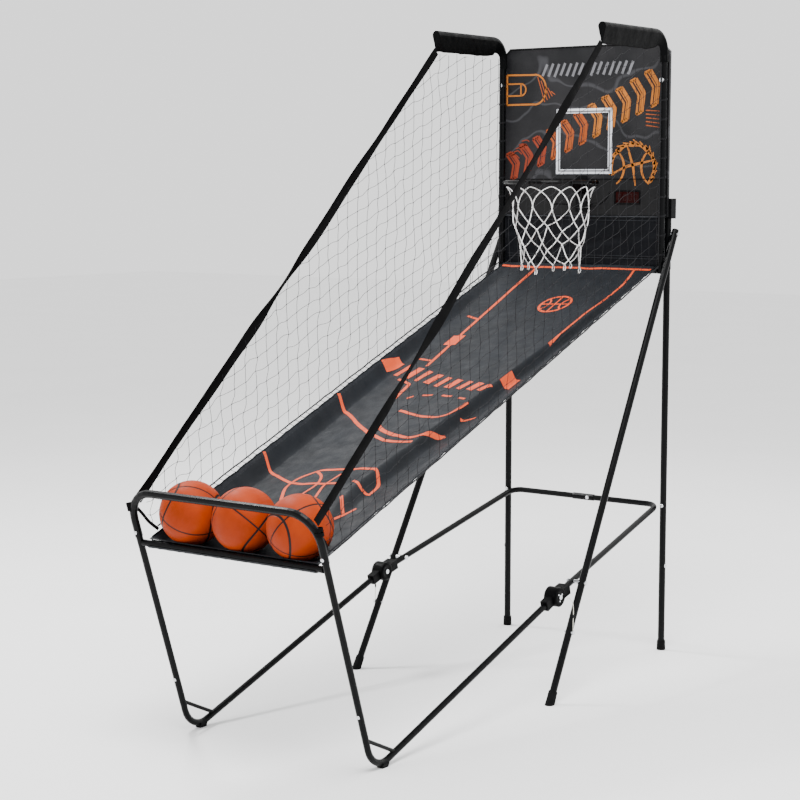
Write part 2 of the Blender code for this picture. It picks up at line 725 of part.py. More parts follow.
def lanyard(tag, side):
    points = [at(side * (FRONT_HALF + x), y, z) for x, y, z in LANYARD_ROUTE]
    route = catmull_rom(points, 5 * CORD_R)
    curve = bpy.data.curves.new(f"lanyard_{tag}", "CURVE")
    curve.dimensions = "3D"
    curve.bevel_depth = CORD_R
    curve.bevel_resolution = 2
    curve.use_fill_caps = True
    spline = curve.splines.new("POLY")
    spline.points.add(len(route) - 1)
    for target, point in zip(spline.points, route):
        target.co = (*point, 1.0)
    curve.materials.append(MATERIALS["clear_cord"])
    obj = bpy.data.objects.new(f"lanyard_{tag}", curve)
    bpy.context.collection.objects.link(obj)


# ---------------------------------------------------------------- backboard and scorer
def backboard():
    half = BOARD_WIDTH / 2
    cut = BOARD_CHAMFER
    outline = [(-half, BOARD_BOTTOM), (half, BOARD_BOTTOM), (half, BOARD_TOP - cut),
               (half - cut, BOARD_TOP), (-half + cut, BOARD_TOP), (-half, BOARD_TOP - cut)]
    bm = bmesh.new()
    front = [bm.verts.new(at(x, BOARD_FRONT, z)) for x, z in outline]
    back = [bm.verts.new(at(x, BOARD_BACK, z)) for x, z in outline]
    bm.faces.new(front)
    bm.faces.new(back)
    for i in range(len(outline)):
        j = (i + 1) % len(outline)
        bm.faces.new((front[i], front[j], back[j], back[i]))
    board = add_object("backboard", bm, "board")
    x0, x1, z0, z1 = WINDOW
    combine(board, box(at(x0, BOARD_FRONT - 0.01, z0), at(x1, BOARD_BACK + 0.01, z1)), "DIFFERENCE")
    return board


def board_bolt(tag, side, arm, board):
    place = at(side * UPRIGHT_HALF, UPRIGHT_Y, BOARD_BOLT_HEIGHT)
    back = Vector((0, 1, 0))
    rim = LEG_R + GAP
    through = BOARD_BACK - UPRIGHT_Y + GAP
    drill(arm, place, back, PIN_R + GAP, 4 * LEG_R)
    drill(board, place + back * through, back, PIN_R + GAP, 0.08)
    spacer = BOARD_FRONT - UPRIGHT_Y - GAP
    spans = [(-rim - HEAD_T, -rim, HEAD_R), (-rim, rim, PIN_R), (rim, spacer, HEAD_R),
             (spacer, through, PIN_R), (through, through + HEAD_T, HEAD_R)]
    bolt(f"board_bolt_{tag}", place, back, spans)


def scorer():
    x0, x1, z0, z1 = WINDOW
    window = box(at(x0 + GAP, BOARD_FRONT, z0 + GAP),
                 at(x1 - GAP, BOARD_FRONT + WINDOW_T, z1 - GAP))
    add_object("display_window", window, "red_window")
    hx0, hx1, hz0, hz1 = HOUSING
    front = BOARD_BACK + GAP
    housing = add_object("scorer_housing",
                         box(at(hx0, front, hz0), at(hx1, HOUSING_BACK, hz1)), "black_plastic")
    wall = HOUSING_WALL
    combine(housing, box(at(hx0 + wall, front - 0.01, hz0 + wall),
                         at(hx1 - wall, HOUSING_BACK - wall, hz1 - wall)), "DIFFERENCE")
    cx0, cx1, cz0, cz1 = COVER
    combine(housing, box(at(cx0, HOUSING_BACK - 2 * wall, cz0),
                         at(cx1, HOUSING_BACK + wall, cz1)), "DIFFERENCE")
    pivot = add_empty("battery_cover_axis", at((cx0 + cx1) / 2, HOUSING_BACK, (cz0 + cz1) / 2))
    cover = box(at(cx0 + GAP, HOUSING_BACK - wall, cz0 + GAP),
                at(cx1 - GAP, HOUSING_BACK, cz1 - GAP))
    add_object("battery_cover", cover, "black_plastic", pivot)
    circuit_board(front, wall)
    place = at(BUTTON_X, HOUSING_BACK, BUTTON_Z)
    drill(housing, place, Vector((0, 1, 0)), BUTTON_R + GAP, 4 * wall)
    lip = -wall - GAP
    spans = [(lip - BUTTON_LIP, lip, BUTTON_R + 0.002), (lip, BUTTON_PROUD, BUTTON_R)]
    bolt("start_button", place, Vector((0, 1, 0)), spans,
         add_empty("start_button_axis", place), "rubber")
    place = at(BUTTON_X + 0.032, HOUSING_BACK - wall - GAP - SPEAKER_T, hz1 - 0.024)
    profile = [(0, SPEAKER_R - 0.004), (SPEAKER_T, SPEAKER_R)]
    add_object("speaker", lathe(profile, place, Vector((0, 1, 0))), "black_plastic")


def circuit_board(front, wall):
    """Board with the digit block that stands up behind the window."""
    hx0, hx1, hz0, hz1 = HOUSING
    x0, x1, z0, z1 = WINDOW
    plane = front + 0.010
    edge = wall + 0.004
    pcb = add_object("circuit_board", box(at(hx0 + edge, plane, hz0 + edge),
                                          at(hx1 - edge, plane + 0.0016, hz1 - edge)), "circuit")
    digits = box(at(x0 + 0.002, BOARD_FRONT + WINDOW_T + GAP, z0 + 0.002),
                 at(x1 - 0.002, plane + 0.0008, z1 - 0.002))
    combine(pcb, digits, "UNION")


# ---------------------------------------------------------------- hoop
def hoop():
    centre = at(0, RING_Y, RING_HEIGHT)
    ring = [(RING_R + RING_TUBE * math.cos(a), RING_TUBE * math.sin(a))
            for a in (2 * math.pi * i / 8 for i in range(8))]
    profile = [(height, radius) for radius, height in ring]
    add_object("hoop_ring", lathe(profile, centre, Vector((0, 0, 1)), 36, closed=True),
               "black_steel")
    top = RING_HEIGHT - RING_TUBE - 0.001
    rows = 5
    outer = []
    for row in range(rows + 1):
        share = row / rows
        outer.append((-NET_LENGTH * share, NET_TOP_R + (NET_BOTTOM_R - NET_TOP_R) * share ** 0.8))
    inner = [(along, radius - NET_WALL) for along, radius in reversed(outer)]
    place = at(0, RING_Y, top)
    add_object("hoop_net", lathe(outer + inner, place, Vector((0, 0, 1)), 24, closed=True),
               "hoop_cord")
    face = BOARD_FRONT - GAP
    step = face - BRACKET_T
    tip = RING_Y + RING_R + RING_TUBE + GAP
    arm = RING_HEIGHT - RING_TUBE
    outline = [(face, arm + 0.028), (step, arm + 0.028), (step, arm + 0.013),
               (tip, arm + 0.013), (tip, arm), (step, arm - 0.032), (step, arm - 0.092),
               (face, arm - 0.092)]
    add_object("hoop_bracket", plate(outline, -BRACKET_HALF, BRACKET_HALF), "black_steel")


def score_lever():
    """Sprung wire below the ring: its straight middle run is its own hinge axis."""
    axis_y = BOARD_FRONT - GAP - BRACKET_T - LEVER_R - 0.002
    pivot = add_empty("score_lever_axis", at(0, axis_y, LEVER_HEIGHT))
    half = [(0.030, 0.0, 0.0), (0.046, -0.010, 0.010), (0.066, -0.024, 0.012),
            (0.090, -0.032, 0.012), (0.114, -0.034, 0.026), (0.132, -0.034, 0.050)]
    points = []
    for side in (-1, 1):
        run = [at(side * x, axis_y + y, LEVER_HEIGHT + z) for x, y, z in half]
        points += run[::-1] if side == -1 else run
    path = catmull_rom(points, 0.006)
    add_object("score_lever", sweep(path, circle_profile(LEVER_R, 8), None, Vector((0, 0, 1))),
               "black_steel", pivot)


# ---------------------------------------------------------------- fabric
def mat_height(x, y):
    """Top of the ramp: straight between its bars, slack between its hems."""
    front = leg_line(FRONT_BAR_HEIGHT)
    low = FRONT_BAR_HEIGHT + BAR_R + GAP + MAT_T
    high = MAT_BAR_HEIGHT + MAT_BAR_R / math.cos(MAT_TILT) + GAP + MAT_T
    share = (y - front) / (UPRIGHT_Y - front)
    drop = min(1.0, (y - front) / MAT_POCKET)
    drop = drop * drop * (3 - 2 * drop)
    across = 1 - abs(x / MAT_HALF) ** 10
    return low + (high - low) * share - MAT_SAG * drop * across * (1 - share ** 3)


def court_mat():
    front = leg_line(FRONT_BAR_HEIGHT)
    steps = math.ceil(MAT_POCKET / MAT_ROW)
    ys = [front + MAT_POCKET * step / steps for step in range(steps + 1)]
    rest = 10
    ys += [ys[-1] + (UPRIGHT_Y - ys[-1]) * (i + 1) / rest for i in range(rest)]
    columns = 12
    bm = bmesh.new()
    layers = []
    for thickness in (0, MAT_T):
        layer = []
        for y in ys:
            row = []
            for column in range(columns + 1):
                x = MAT_HALF * (2 * column / columns - 1)
                row.append(bm.verts.new(at(x, y, mat_height(x, y) - thickness)))
            layer.append(row)
        layers.append(layer)
    top, bottom = layers
    for layer in layers:
        for row, following in zip(layer, layer[1:]):
            for i in range(columns):
                bm.faces.new((row[i], row[i + 1], following[i + 1], following[i]))
    for end in (0, -1):
        for i in range(columns):
            bm.faces.new((top[end][i], top[end][i + 1], bottom[end][i + 1], bottom[end][i]))
    for i in range(len(ys) - 1):
        for end in (0, -1):
            bm.faces.new((top[i][end], top[i + 1][end], bottom[i + 1][end], bottom[i][end]))
    add_object("court_mat", bm, "fabric")


def side_net(tag, side):
    """One flat sheet from the arm down to the ramp's hem, edged by the front strap."""
    front = leg_line(FRONT_BAR_HEIGHT)
    rear = UPRIGHT_Y - LEG_R - HEAD_T - 0.002
    under_arm = UPRIGHT_TOP - SLEEVE_DOWN - 0.004
    step = UPRIGHT_Y - SLEEVE_DOWN - 0.004
    low_front = front + 0.034
    outline = [(-ARM_REACH + 0.005, under_arm), (step, under_arm), (step, SLEEVE_END - 0.004),
               (rear, SLEEVE_END - 0.004), (rear, mat_height(MAT_HALF, rear) + 0.012),
               (low_front, mat_height(MAT_HALF, low_front) + 0.012),
               (front - 0.010, RAIL_HEIGHT - 0.022)]
    middle = side * UPRIGHT_HALF
    bm = plate(outline, middle - SHEET_T / 2, middle + SHEET_T / 2)
    add_object(f"side_net_{tag}", bm, "net_cord")


def arm_sleeve(tag, side):
    """Fabric sleeve that hangs below the arm, its profile deep on the inner side."""
    shift = Vector((side * UPRIGHT_HALF, 0, 0))
    path = [point + shift for point in upright_path(-ARM_REACH - 0.005, SLEEVE_END)]
    outer = []
    inner = []
    for step in range(TUBE_SIDES):
        angle = 2 * math.pi * step / TUBE_SIDES
        down, across = math.sin(angle), math.cos(angle)
        outer.append((down * (SLEEVE_DOWN if down > 0 else SLEEVE_UP), across * SLEEVE_HALF))
        inner.append((down * (LEG_R + GAP), across * (LEG_R + GAP)))
    bm = sweep(path, outer, inner, Vector((0, 0, -1)))
    add_object(f"arm_sleeve_{tag}", bm, "fabric")


def rear_panel():
    half = UPRIGHT_HALF - LEG_R - 0.001
    low = at(-half, BOARD_FRONT, PANEL_BOTTOM)
    high = at(half, BOARD_FRONT + SHEET_T, BOARD_BOTTOM - 2 * GAP)
    add_object("rear_panel", box(low, high), "fabric")


# ---------------------------------------------------------------- balls
def ball_place(column):
    """Centre of a stored ball."""
    centre = ball_centre()
    return at(column * BALL_PITCH, centre.x, centre.y)


def ball(tag, column):
    """Thin rubber ball; the valve hole opens its hollow."""
    place = ball_place(column)
    pivot = add_empty(f"ball_axis_{tag}", place)
    rows = 10
    profile = []
    for radius, order in ((BALL_R, 1), (BALL_R - BALL_WALL, -1)):
        first = math.asin(VALVE_R / radius)
        arc = [first + (math.pi - first) * i / rows for i in range(rows)] + [math.pi]
        points = [(radius * math.cos(a), radius * math.sin(a)) for a in arc[:-1]]
        points.append((-radius, 0))
        profile.append(points[::order])
    axis = Vector((0.3 * column, 0.6, 0.75))
    shell = lathe_shell(profile, place, axis)
    add_object(f"ball_{tag}", shell, "ball_orange", pivot)


def lathe_shell(profile, place, axis):
    """Two turned skins, each closed at its far pole, joined around the valve hole."""
    outer, inner = profile
    bm = lathe(outer, place, axis, BALL_SIDES)
    lid = [face for face in bm.faces if len(face.verts) == BALL_SIDES]
    bmesh.ops.delete(bm, geom=lid, context="FACES_ONLY")
    second = lathe(inner, place, axis, BALL_SIDES)
    lid = [face for face in second.faces if len(face.verts) == BALL_SIDES]
    bmesh.ops.delete(second, geom=lid, context="FACES_ONLY")
    mesh = bpy.data.meshes.new("inner_skin")
    second.to_mesh(mesh)
    second.free()
    bm.from_mesh(mesh)
    bpy.data.meshes.remove(mesh)
    rims = [edge for edge in bm.edges if edge.is_boundary]
    bmesh.ops.bridge_loops(bm, edges=rims)
    return bm


# ---------------------------------------------------------------- assembly
def build():
    fold_axis = add_empty("fold_axis", at(0, -KNUCKLE_REACH, KNUCKLE_HEIGHT))
    board = backboard()
    for tag, side in SIDES:
        leg_top = rear_leg(tag, side)
        leg_clamp(tag, side)
        arm = upright(tag, side)
        board_bolt(tag, side, arm, board)
        leg = diagonal_leg(tag, side, leg_top)
        bar = rear_side_bar(tag, side)
        cross_bolt(tag, side, bar, leg)
        knuckle_fork(tag, side)
        knuckle_pin(tag, side)
        front_leg(tag, side, fold_axis)
        lock_pin(tag, side, leg)
        lanyard(tag, side)
        side_net(tag, side)
        arm_sleeve(tag, side)
    rear_bar_sleeve()
    mat_rear_bar()
    front_rail(fold_axis)
    front_crossbar(fold_axis)
    scorer()
    hoop()
    score_lever()
    court_mat()
    rear_panel()
    for tag, column in (("left", -1), ("middle", 0), ("right", 1)):
        ball(tag, column)


build()
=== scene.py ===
import bpy, json, math
import numpy as np
from mathutils import Vector, Matrix


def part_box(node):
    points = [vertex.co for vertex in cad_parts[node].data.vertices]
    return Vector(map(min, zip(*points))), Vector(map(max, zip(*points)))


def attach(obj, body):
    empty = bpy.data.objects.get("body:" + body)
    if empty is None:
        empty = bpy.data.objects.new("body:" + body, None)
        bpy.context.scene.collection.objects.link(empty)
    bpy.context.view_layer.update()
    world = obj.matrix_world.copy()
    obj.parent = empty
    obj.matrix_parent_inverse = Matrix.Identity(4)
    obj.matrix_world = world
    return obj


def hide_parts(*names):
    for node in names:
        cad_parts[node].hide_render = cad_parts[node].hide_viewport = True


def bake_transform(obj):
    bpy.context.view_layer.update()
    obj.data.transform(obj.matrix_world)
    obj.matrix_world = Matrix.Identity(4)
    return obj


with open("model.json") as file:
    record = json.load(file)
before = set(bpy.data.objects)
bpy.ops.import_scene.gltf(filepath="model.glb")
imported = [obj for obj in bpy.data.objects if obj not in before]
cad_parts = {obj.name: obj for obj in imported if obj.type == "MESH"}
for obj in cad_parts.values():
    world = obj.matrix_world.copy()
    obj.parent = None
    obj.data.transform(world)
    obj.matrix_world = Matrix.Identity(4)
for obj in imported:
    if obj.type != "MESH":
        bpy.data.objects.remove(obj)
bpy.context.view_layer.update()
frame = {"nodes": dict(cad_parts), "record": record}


def box(n):
    lo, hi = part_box(n)
    return np.array(lo, float), np.array(hi, float)


def mid(n):
    lo, hi = box(n)
    return (lo + hi) / 2


RY = mid("rear_leg_left")[1]            # plane of the rear legs
FB, RB = mid("front_crossbar"), mid("mat_rear_bar")
BF = box("backboard")[0][1]             # face of the backboard

# ------------------------------------------------------------------ camera, light, floor
cam = bpy.data.objects.new("camera", bpy.data.cameras.new("camera"))
cam.data.lens, cam.data.sensor_width = 85.8, 36
cam.location = (3.281, RY - 5.563, 1.554)
cam.rotation_euler = (math.radians(90 - 6.52), 0, math.radians(36.10))
cam.data.clip_end = 60
bpy.context.collection.objects.link(cam)
bpy.context.scene.camera = cam


def area(name, loc, target, size, power):
    d = bpy.data.lights.new(name, "AREA")
    d.energy, d.size = power, size
    o = bpy.data.objects.new(name, d)
    o.location = loc
    o.rotation_euler = (Vector(target) - Vector(loc)).to_track_quat("-Z", "Y").to_euler()
    bpy.context.collection.objects.link(o)


area("key", (1.6, -1.8, 5.2), (0, -0.1, 0.9), 2.4, 330)
area("left", (-2.9, 0.3, 4.4), (0, -0.6, 0.8), 0.8, 190)
area("back", (0.5, 3.8, 3.4), (0, 0, 1.2), 3.0, 60)
world = bpy.data.worlds.new("studio")
bpy.context.scene.world = world
world.use_nodes = True
bg = world.node_tree.nodes["Background"]
bg.inputs[0].default_value = (1, 1, 1, 1)
bg.inputs[1].default_value = 1.55


# ------------------------------------------------------------------ materials
class Mat:
    def __init__(self, name, base, rough, metal=0.0, **more):
        self.m = bpy.data.materials.new(name)
        self.m.use_nodes = True
        self.t = self.m.node_tree
        self.b = self.t.nodes["Principled BSDF"]
        self.b.inputs["Base Color"].default_value = (*base, 1)
        self.b.inputs["Roughness"].default_value = rough
        self.b.inputs["Metallic"].default_value = metal
        for k, v in more.items():
            self.b.inputs[k.replace("_", " ")].default_value = v
        self.height = None
        self.base = base

    def node(self, kind, **values):
        n = self.t.nodes.new("ShaderNode" + kind)
        for k, v in values.items():
            if k.startswith("p_"):
                setattr(n, k[2:], v)
            else:
                n.inputs[k.replace("_", " ")].default_value = v
        return n

    def link(self, a, b):
        self.t.links.new(a, b)

    def coords(self, scale=(1, 1, 1), rot=(0, 0, 0)):
        c = self.node("TexCoord")
        m = self.node("Mapping", Scale=scale, Rotation=rot)
        self.link(c.outputs["Object"], m.inputs["Vector"])
        return m.outputs["Vector"]

    def noise(self, scale, detail=4.0, vec=None):
        n = self.node("TexNoise", Scale=scale, Detail=detail)
        self.link(vec or self.coords(), n.inputs["Vector"])
        return n.outputs["Fac"]

    def ramp(self, fac, stops):
        r = self.node("ValToRGB")
        self.link(fac, r.inputs["Fac"])
        e = r.color_ramp.elements
        for i, (pos, col) in enumerate(stops):
            el = e[i] if i < 2 else e.new(pos)
            el.position = pos
            el.color = (*col, 1) if len(col) == 3 else col
        return r.outputs["Color"]

    def math(self, op, a, b=None, c=None):
        n = self.node("Math", p_operation=op)
        for i, v in enumerate((a, b, c)):
            if v is None:
                continue
            if isinstance(v, (int, float)):
                n.inputs[i].default_value = v
            else:
                self.link(v, n.inputs[i])
        return n.outputs[0]

    def mix(self, fac, a, b):
        n = self.node("Mix", p_data_type="RGBA")
        self.link(fac, n.inputs[0])
        for i, v in ((6, a), (7, b)):
            if isinstance(v, tuple):
                n.inputs[i].default_value = (*v, 1)
            else:
                self.link(v, n.inputs[i])
        return n.outputs[2]

    def color(self, out):
        self.link(out, self.b.inputs["Base Color"])
        return self

    def tint(self, scale, amount, lo=None):
        """Soft variation of the base colour."""
        f = self.noise(scale)
        a = tuple(c * (1 - amount) for c in self.base)
        d = tuple(min(1, c * (1 + amount)) for c in self.base)
        self.color(self.ramp(f, [(0.3, a), (0.7, d)]))
        return self

    def rough(self, scale, lo, hi):
        f = self.noise(scale, 6.0)
        self.link(self.ramp(f, [(0.3, (lo,) * 3), (0.7, (hi,) * 3)]), self.b.inputs["Roughness"])
        return self

    def bump(self, height, strength, dist=0.001):
        n = self.node("Bump", Strength=strength, Distance=dist)
        self.link(height, n.inputs["Height"])
        if self.height:
            self.link(self.height, n.inputs["Normal"])
        self.height = n.outputs["Normal"]
        self.link(self.height, self.b.inputs["Normal"])
        return self

    def weave(self, pitch, strength, rot=(0, 0, 0)):
        k = 1 / pitch
        w = []
        for d in ("X", "Y", "Z"):
            n = self.node("TexWave", p_bands_direction=d, Scale=k * 0.16, Distortion=0.4)
            self.link(self.coords(rot=rot), n.inputs["Vector"])
            w.append(n.outputs["Fac"])
        both = self.math("ADD", self.math("ADD", w[0], w[1]), w[2])
        return self.bump(both, strength, 0.0004)


def steel():
    m = Mat("coated_steel", (0.0010, 0.0011, 0.0014), 0.16, 0.0, Specular_IOR_Level=0.09, Coat_Weight=0.02, Coat_Roughness=0.05)
    m.tint(40, 0.25).rough(70, 0.24, 0.4)
    return m.bump(m.noise(900, 2), 0.12, 0.0003).m


def rubber():
    m = Mat("black_rubber", (0.003, 0.003, 0.0032), 0.7, 0.0, Specular_IOR_Level=0.08)
    m.tint(60, 0.3).rough(50, 0.6, 0.82)
    return m.bump(m.noise(1500, 3), 0.3, 0.0003).m


def plastic(name="black_plastic", base=(0.0018, 0.0018, 0.0021)):
    m = Mat(name, base, 0.45, 0.0, Specular_IOR_Level=0.05)
    m.tint(50, 0.25).rough(90, 0.36, 0.55)
    v = m.node("TexVoronoi", Scale=1400.0)
    m.link(m.coords(), v.inputs["Vector"])
    return m.bump(v.outputs["Distance"], 0.15, 0.0002).m


def chrome():
    m = Mat("bright_steel", (0.72, 0.73, 0.75), 0.2, 1.0)
    m.tint(200, 0.12).rough(300, 0.14, 0.34)
    return m.bump(m.noise(2500, 2), 0.08, 0.0001).m


def fabric(name, base, sheen=0.35, pitch=0.0016, rough=(0.5, 0.7), wrinkle=0.5, spec=0.16):
    m = Mat(name, base, 0.6, 0.0, Specular_IOR_Level=spec, Sheen_Weight=sheen, Sheen_Roughness=0.4)
    m.b.inputs["Sheen Tint"].default_value = (0.75, 0.85, 1.0, 1)
    m.tint(9, 0.28).rough(25, *rough)
    m.bump(m.noise(22, 5), wrinkle, 0.006)
    return m.weave(pitch, 0.25).m


def cord_mat(name, base):
    m = Mat(name, base, 0.75, 0.0, Specular_IOR_Level=0.2, Sheen_Weight=0.03)
    m.tint(90, 0.3).rough(200, 0.6, 0.85)
    n = m.node("TexWave", p_bands_direction="DIAGONAL", Scale=120.0, Distortion=1.0)
    m.link(m.coords(), n.inputs["Vector"])
    return m.bump(n.outputs["Fac"], 0.5, 0.0006).m


def ink(name, base):
    m = Mat(name, base, 0.6, 0.0, Specular_IOR_Level=0.2)
    m.tint(35, 0.1).rough(60, 0.45, 0.65)
    return m.weave(0.0016, 0.2).m


def ball_mat():
    m = Mat("orange_ball", (0.4, 0.065, 0.016), 0.5, 0.0, Specular_IOR_Level=0.1)
    vec = m.coords()
    at = m.node("Attribute", p_attribute_name="seam_place")
    n = m.node("VectorMath", p_operation="NORMALIZE")
    m.link(at.outputs["Vector"], n.inputs[0])
    s = m.node("SeparateXYZ")
    m.link(n.outputs[0], s.inputs[0])
    x, y, z = s.outputs
    ax, ay, az = (m.math("ABSOLUTE", q) for q in (x, y, z))
    curve = m.math("ABSOLUTE", m.math("SUBTRACT", ax, m.math("MULTIPLY_ADD", m.math("MULTIPLY", z, z), -0.22, 0.74)))
    d = m.math("MINIMUM", m.math("MINIMUM", ay, az), curve)
    seam = m.node("MapRange", p_interpolation_type="SMOOTHSTEP")
    m.link(d, seam.inputs["Value"])
    seam.inputs["From Min"].default_value, seam.inputs["From Max"].default_value = 0.016, 0.030
    tint = m.ramp(m.noise(14), [(0.3, (0.24, 0.022, 0.0012)), (0.7, (0.33, 0.034, 0.0020))])
    m.color(m.mix(seam.outputs[0], (0.012, 0.01, 0.01), tint))
    m.rough(30, 0.42, 0.6)
    v = m.node("TexVoronoi", Scale=520.0)
    m.link(vec, v.inputs["Vector"])
    m.bump(v.outputs["Distance"], 0.35, 0.0008)
    return m.bump(seam.outputs[0], 0.9, 0.0016).m


def board_mat():
    z0 = box("backboard")[0][2]
    m = Mat("printed_board", (0.012, 0.013, 0.016), 0.5, 0.0, Specular_IOR_Level=0.2)
    vec = m.coords()
    s = m.node("SeparateXYZ")
    m.link(vec, s.inputs[0])
    strip = m.node("MapRange")
    m.link(s.outputs[2], strip.inputs["Value"])
    strip.inputs["From Min"].default_value, strip.inputs["From Max"].default_value = z0 + 0.122, z0 + 0.124
    cloud = m.ramp(m.noise(7, 8), [(0.35, (0.005, 0.0052, 0.0062)), (0.68, (0.0145, 0.0140, 0.0155))])
    n = m.node("TexWave", p_wave_type="RINGS", Scale=2.2, Distortion=18.0, Detail=3.0)
    m.link(vec, n.inputs["Vector"])
    scrib = m.ramp(n.outputs["Fac"], [(0.0, (0.05, 0.05, 0.055)), (0.04, (0.0, 0.0, 0.0))])
    add = m.node("Mix", p_data_type="RGBA", p_blend_type="ADD")
    add.inputs[0].default_value = 0.45
    m.link(cloud, add.inputs[6])
    m.link(scrib, add.inputs[7])
    m.color(m.mix(strip.outputs[0], (0.0035, 0.0035, 0.004), add.outputs[2]))
    m.rough(20, 0.4, 0.6)
    return m.bump(m.noise(1200, 2), 0.15, 0.0002).m


def glass_red():
    m = Mat("red_filter", (0.013, 0.0006, 0.0005), 0.2, 0.0, Specular_IOR_Level=0.08)
    m.tint(30, 0.3).rough(60, 0.08, 0.2)
    return m.bump(m.noise(200, 2), 0.05, 0.0002).m


def floor_mat():
    m = Mat("pale_floor", (0.93, 0.93, 0.93), 0.8)
    m.tint(1.5, 0.01).rough(3, 0.75, 0.85)
    return m.m


def circuit_mat():
    m = Mat("circuit_green", (0.02, 0.12, 0.05), 0.45)
    n = m.node("TexBrick", Scale=90.0)
    m.link(m.coords(), n.inputs["Vector"])
    n.inputs["Color1"].default_value = (0.015, 0.1, 0.04, 1)
    n.inputs["Color2"].default_value = (0.02, 0.13, 0.05, 1)
    n.inputs["Mortar"].default_value = (0.3, 0.22, 0.08, 1)
    m.color(n.outputs["Color"]).rough(60, 0.35, 0.55)
    return m.m


M = {
    "black_steel": steel(), "rubber": rubber(), "black_plastic": plastic(), "chrome": chrome(),
    "board": board_mat(), "red_window": glass_red(), "circuit": circuit_mat(),
    "fabric": fabric("ramp_fabric", (0.0050, 0.0064, 0.0088), 0.02),
    "net_cord": cord_mat("side_net_cord", (0.004, 0.004, 0.0055)),
    "hoop_cord": cord_mat("hoop_cord", (0.84, 0.84, 0.82)),
    "clear_cord": cord_mat("pale_cord", (0.72, 0.7, 0.62)),
    "ball_orange": ball_mat(),
}
M["satin"] = fabric("sleeve_satin", (0.0011, 0.0012, 0.0014), 0.0, 0.0012, (0.4, 0.55), 0.6, 0.04)
M["panel"] = fabric("panel_cloth", (0.0022, 0.0026, 0.0040), 0.0, 0.0016, (0.45, 0.6), 0.6, 0.1)
M["web"] = fabric("webbing", (0.0022, 0.0022, 0.0024), 0.0, 0.0022, (0.6, 0.8), 0.2, 0.04)
M["orange"] = ink("orange_ink", (0.56, 0.062, 0.013))
M["orange_dim"] = ink("burnt_orange_ink", (0.30, 0.062, 0.011))
M["amber"] = ink("amber_ink", (0.36, 0.115, 0.014))
M["red"] = ink("red_ink", (0.20, 0.028, 0.010))
M["white"] = ink("white_ink", (0.62, 0.64, 0.68))
M["grey"] = ink("grey_ink", (0.13, 0.13, 0.14))
M["digit"] = ink("unlit_digit", (0.011, 0.0004, 0.0003))
M["thread"] = cord_mat("stitching", (0.02, 0.022, 0.026))

for sub in frame["record"]["subparts"]:
    o = frame["nodes"][sub["node"]]
    o.data.materials.clear()
    o.data.materials.append(M[sub["material_slot"]])

bpy.ops.mesh.primitive_plane_add(size=40, location=(0, 0, -0.0005))
floor = bpy.context.object
floor.name = "floor"
floor.data.materials.append(floor_mat())


def piece(name, verts, faces, mat, body, replaces=(), smooth=True, origin=None):
    verts = np.asarray(verts, float)
    me = bpy.data.meshes.new(name)
    if origin is not None:
        verts = verts - np.array(origin)
    me.from_pydata([tuple(map(float, v)) for v in verts], [], [tuple(map(int, f)) for f in faces])
    me.validate()
    me.materials.append(M[mat])
    if smooth:
        me.shade_smooth()
    o = bpy.data.objects.new(name, me)
    if origin is not None:
        o.location = origin
    bpy.context.collection.objects.link(o)
    if body == "fold":
        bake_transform(o)
    else:
        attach(o, body)
    if replaces:
        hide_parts(*replaces)
    return o


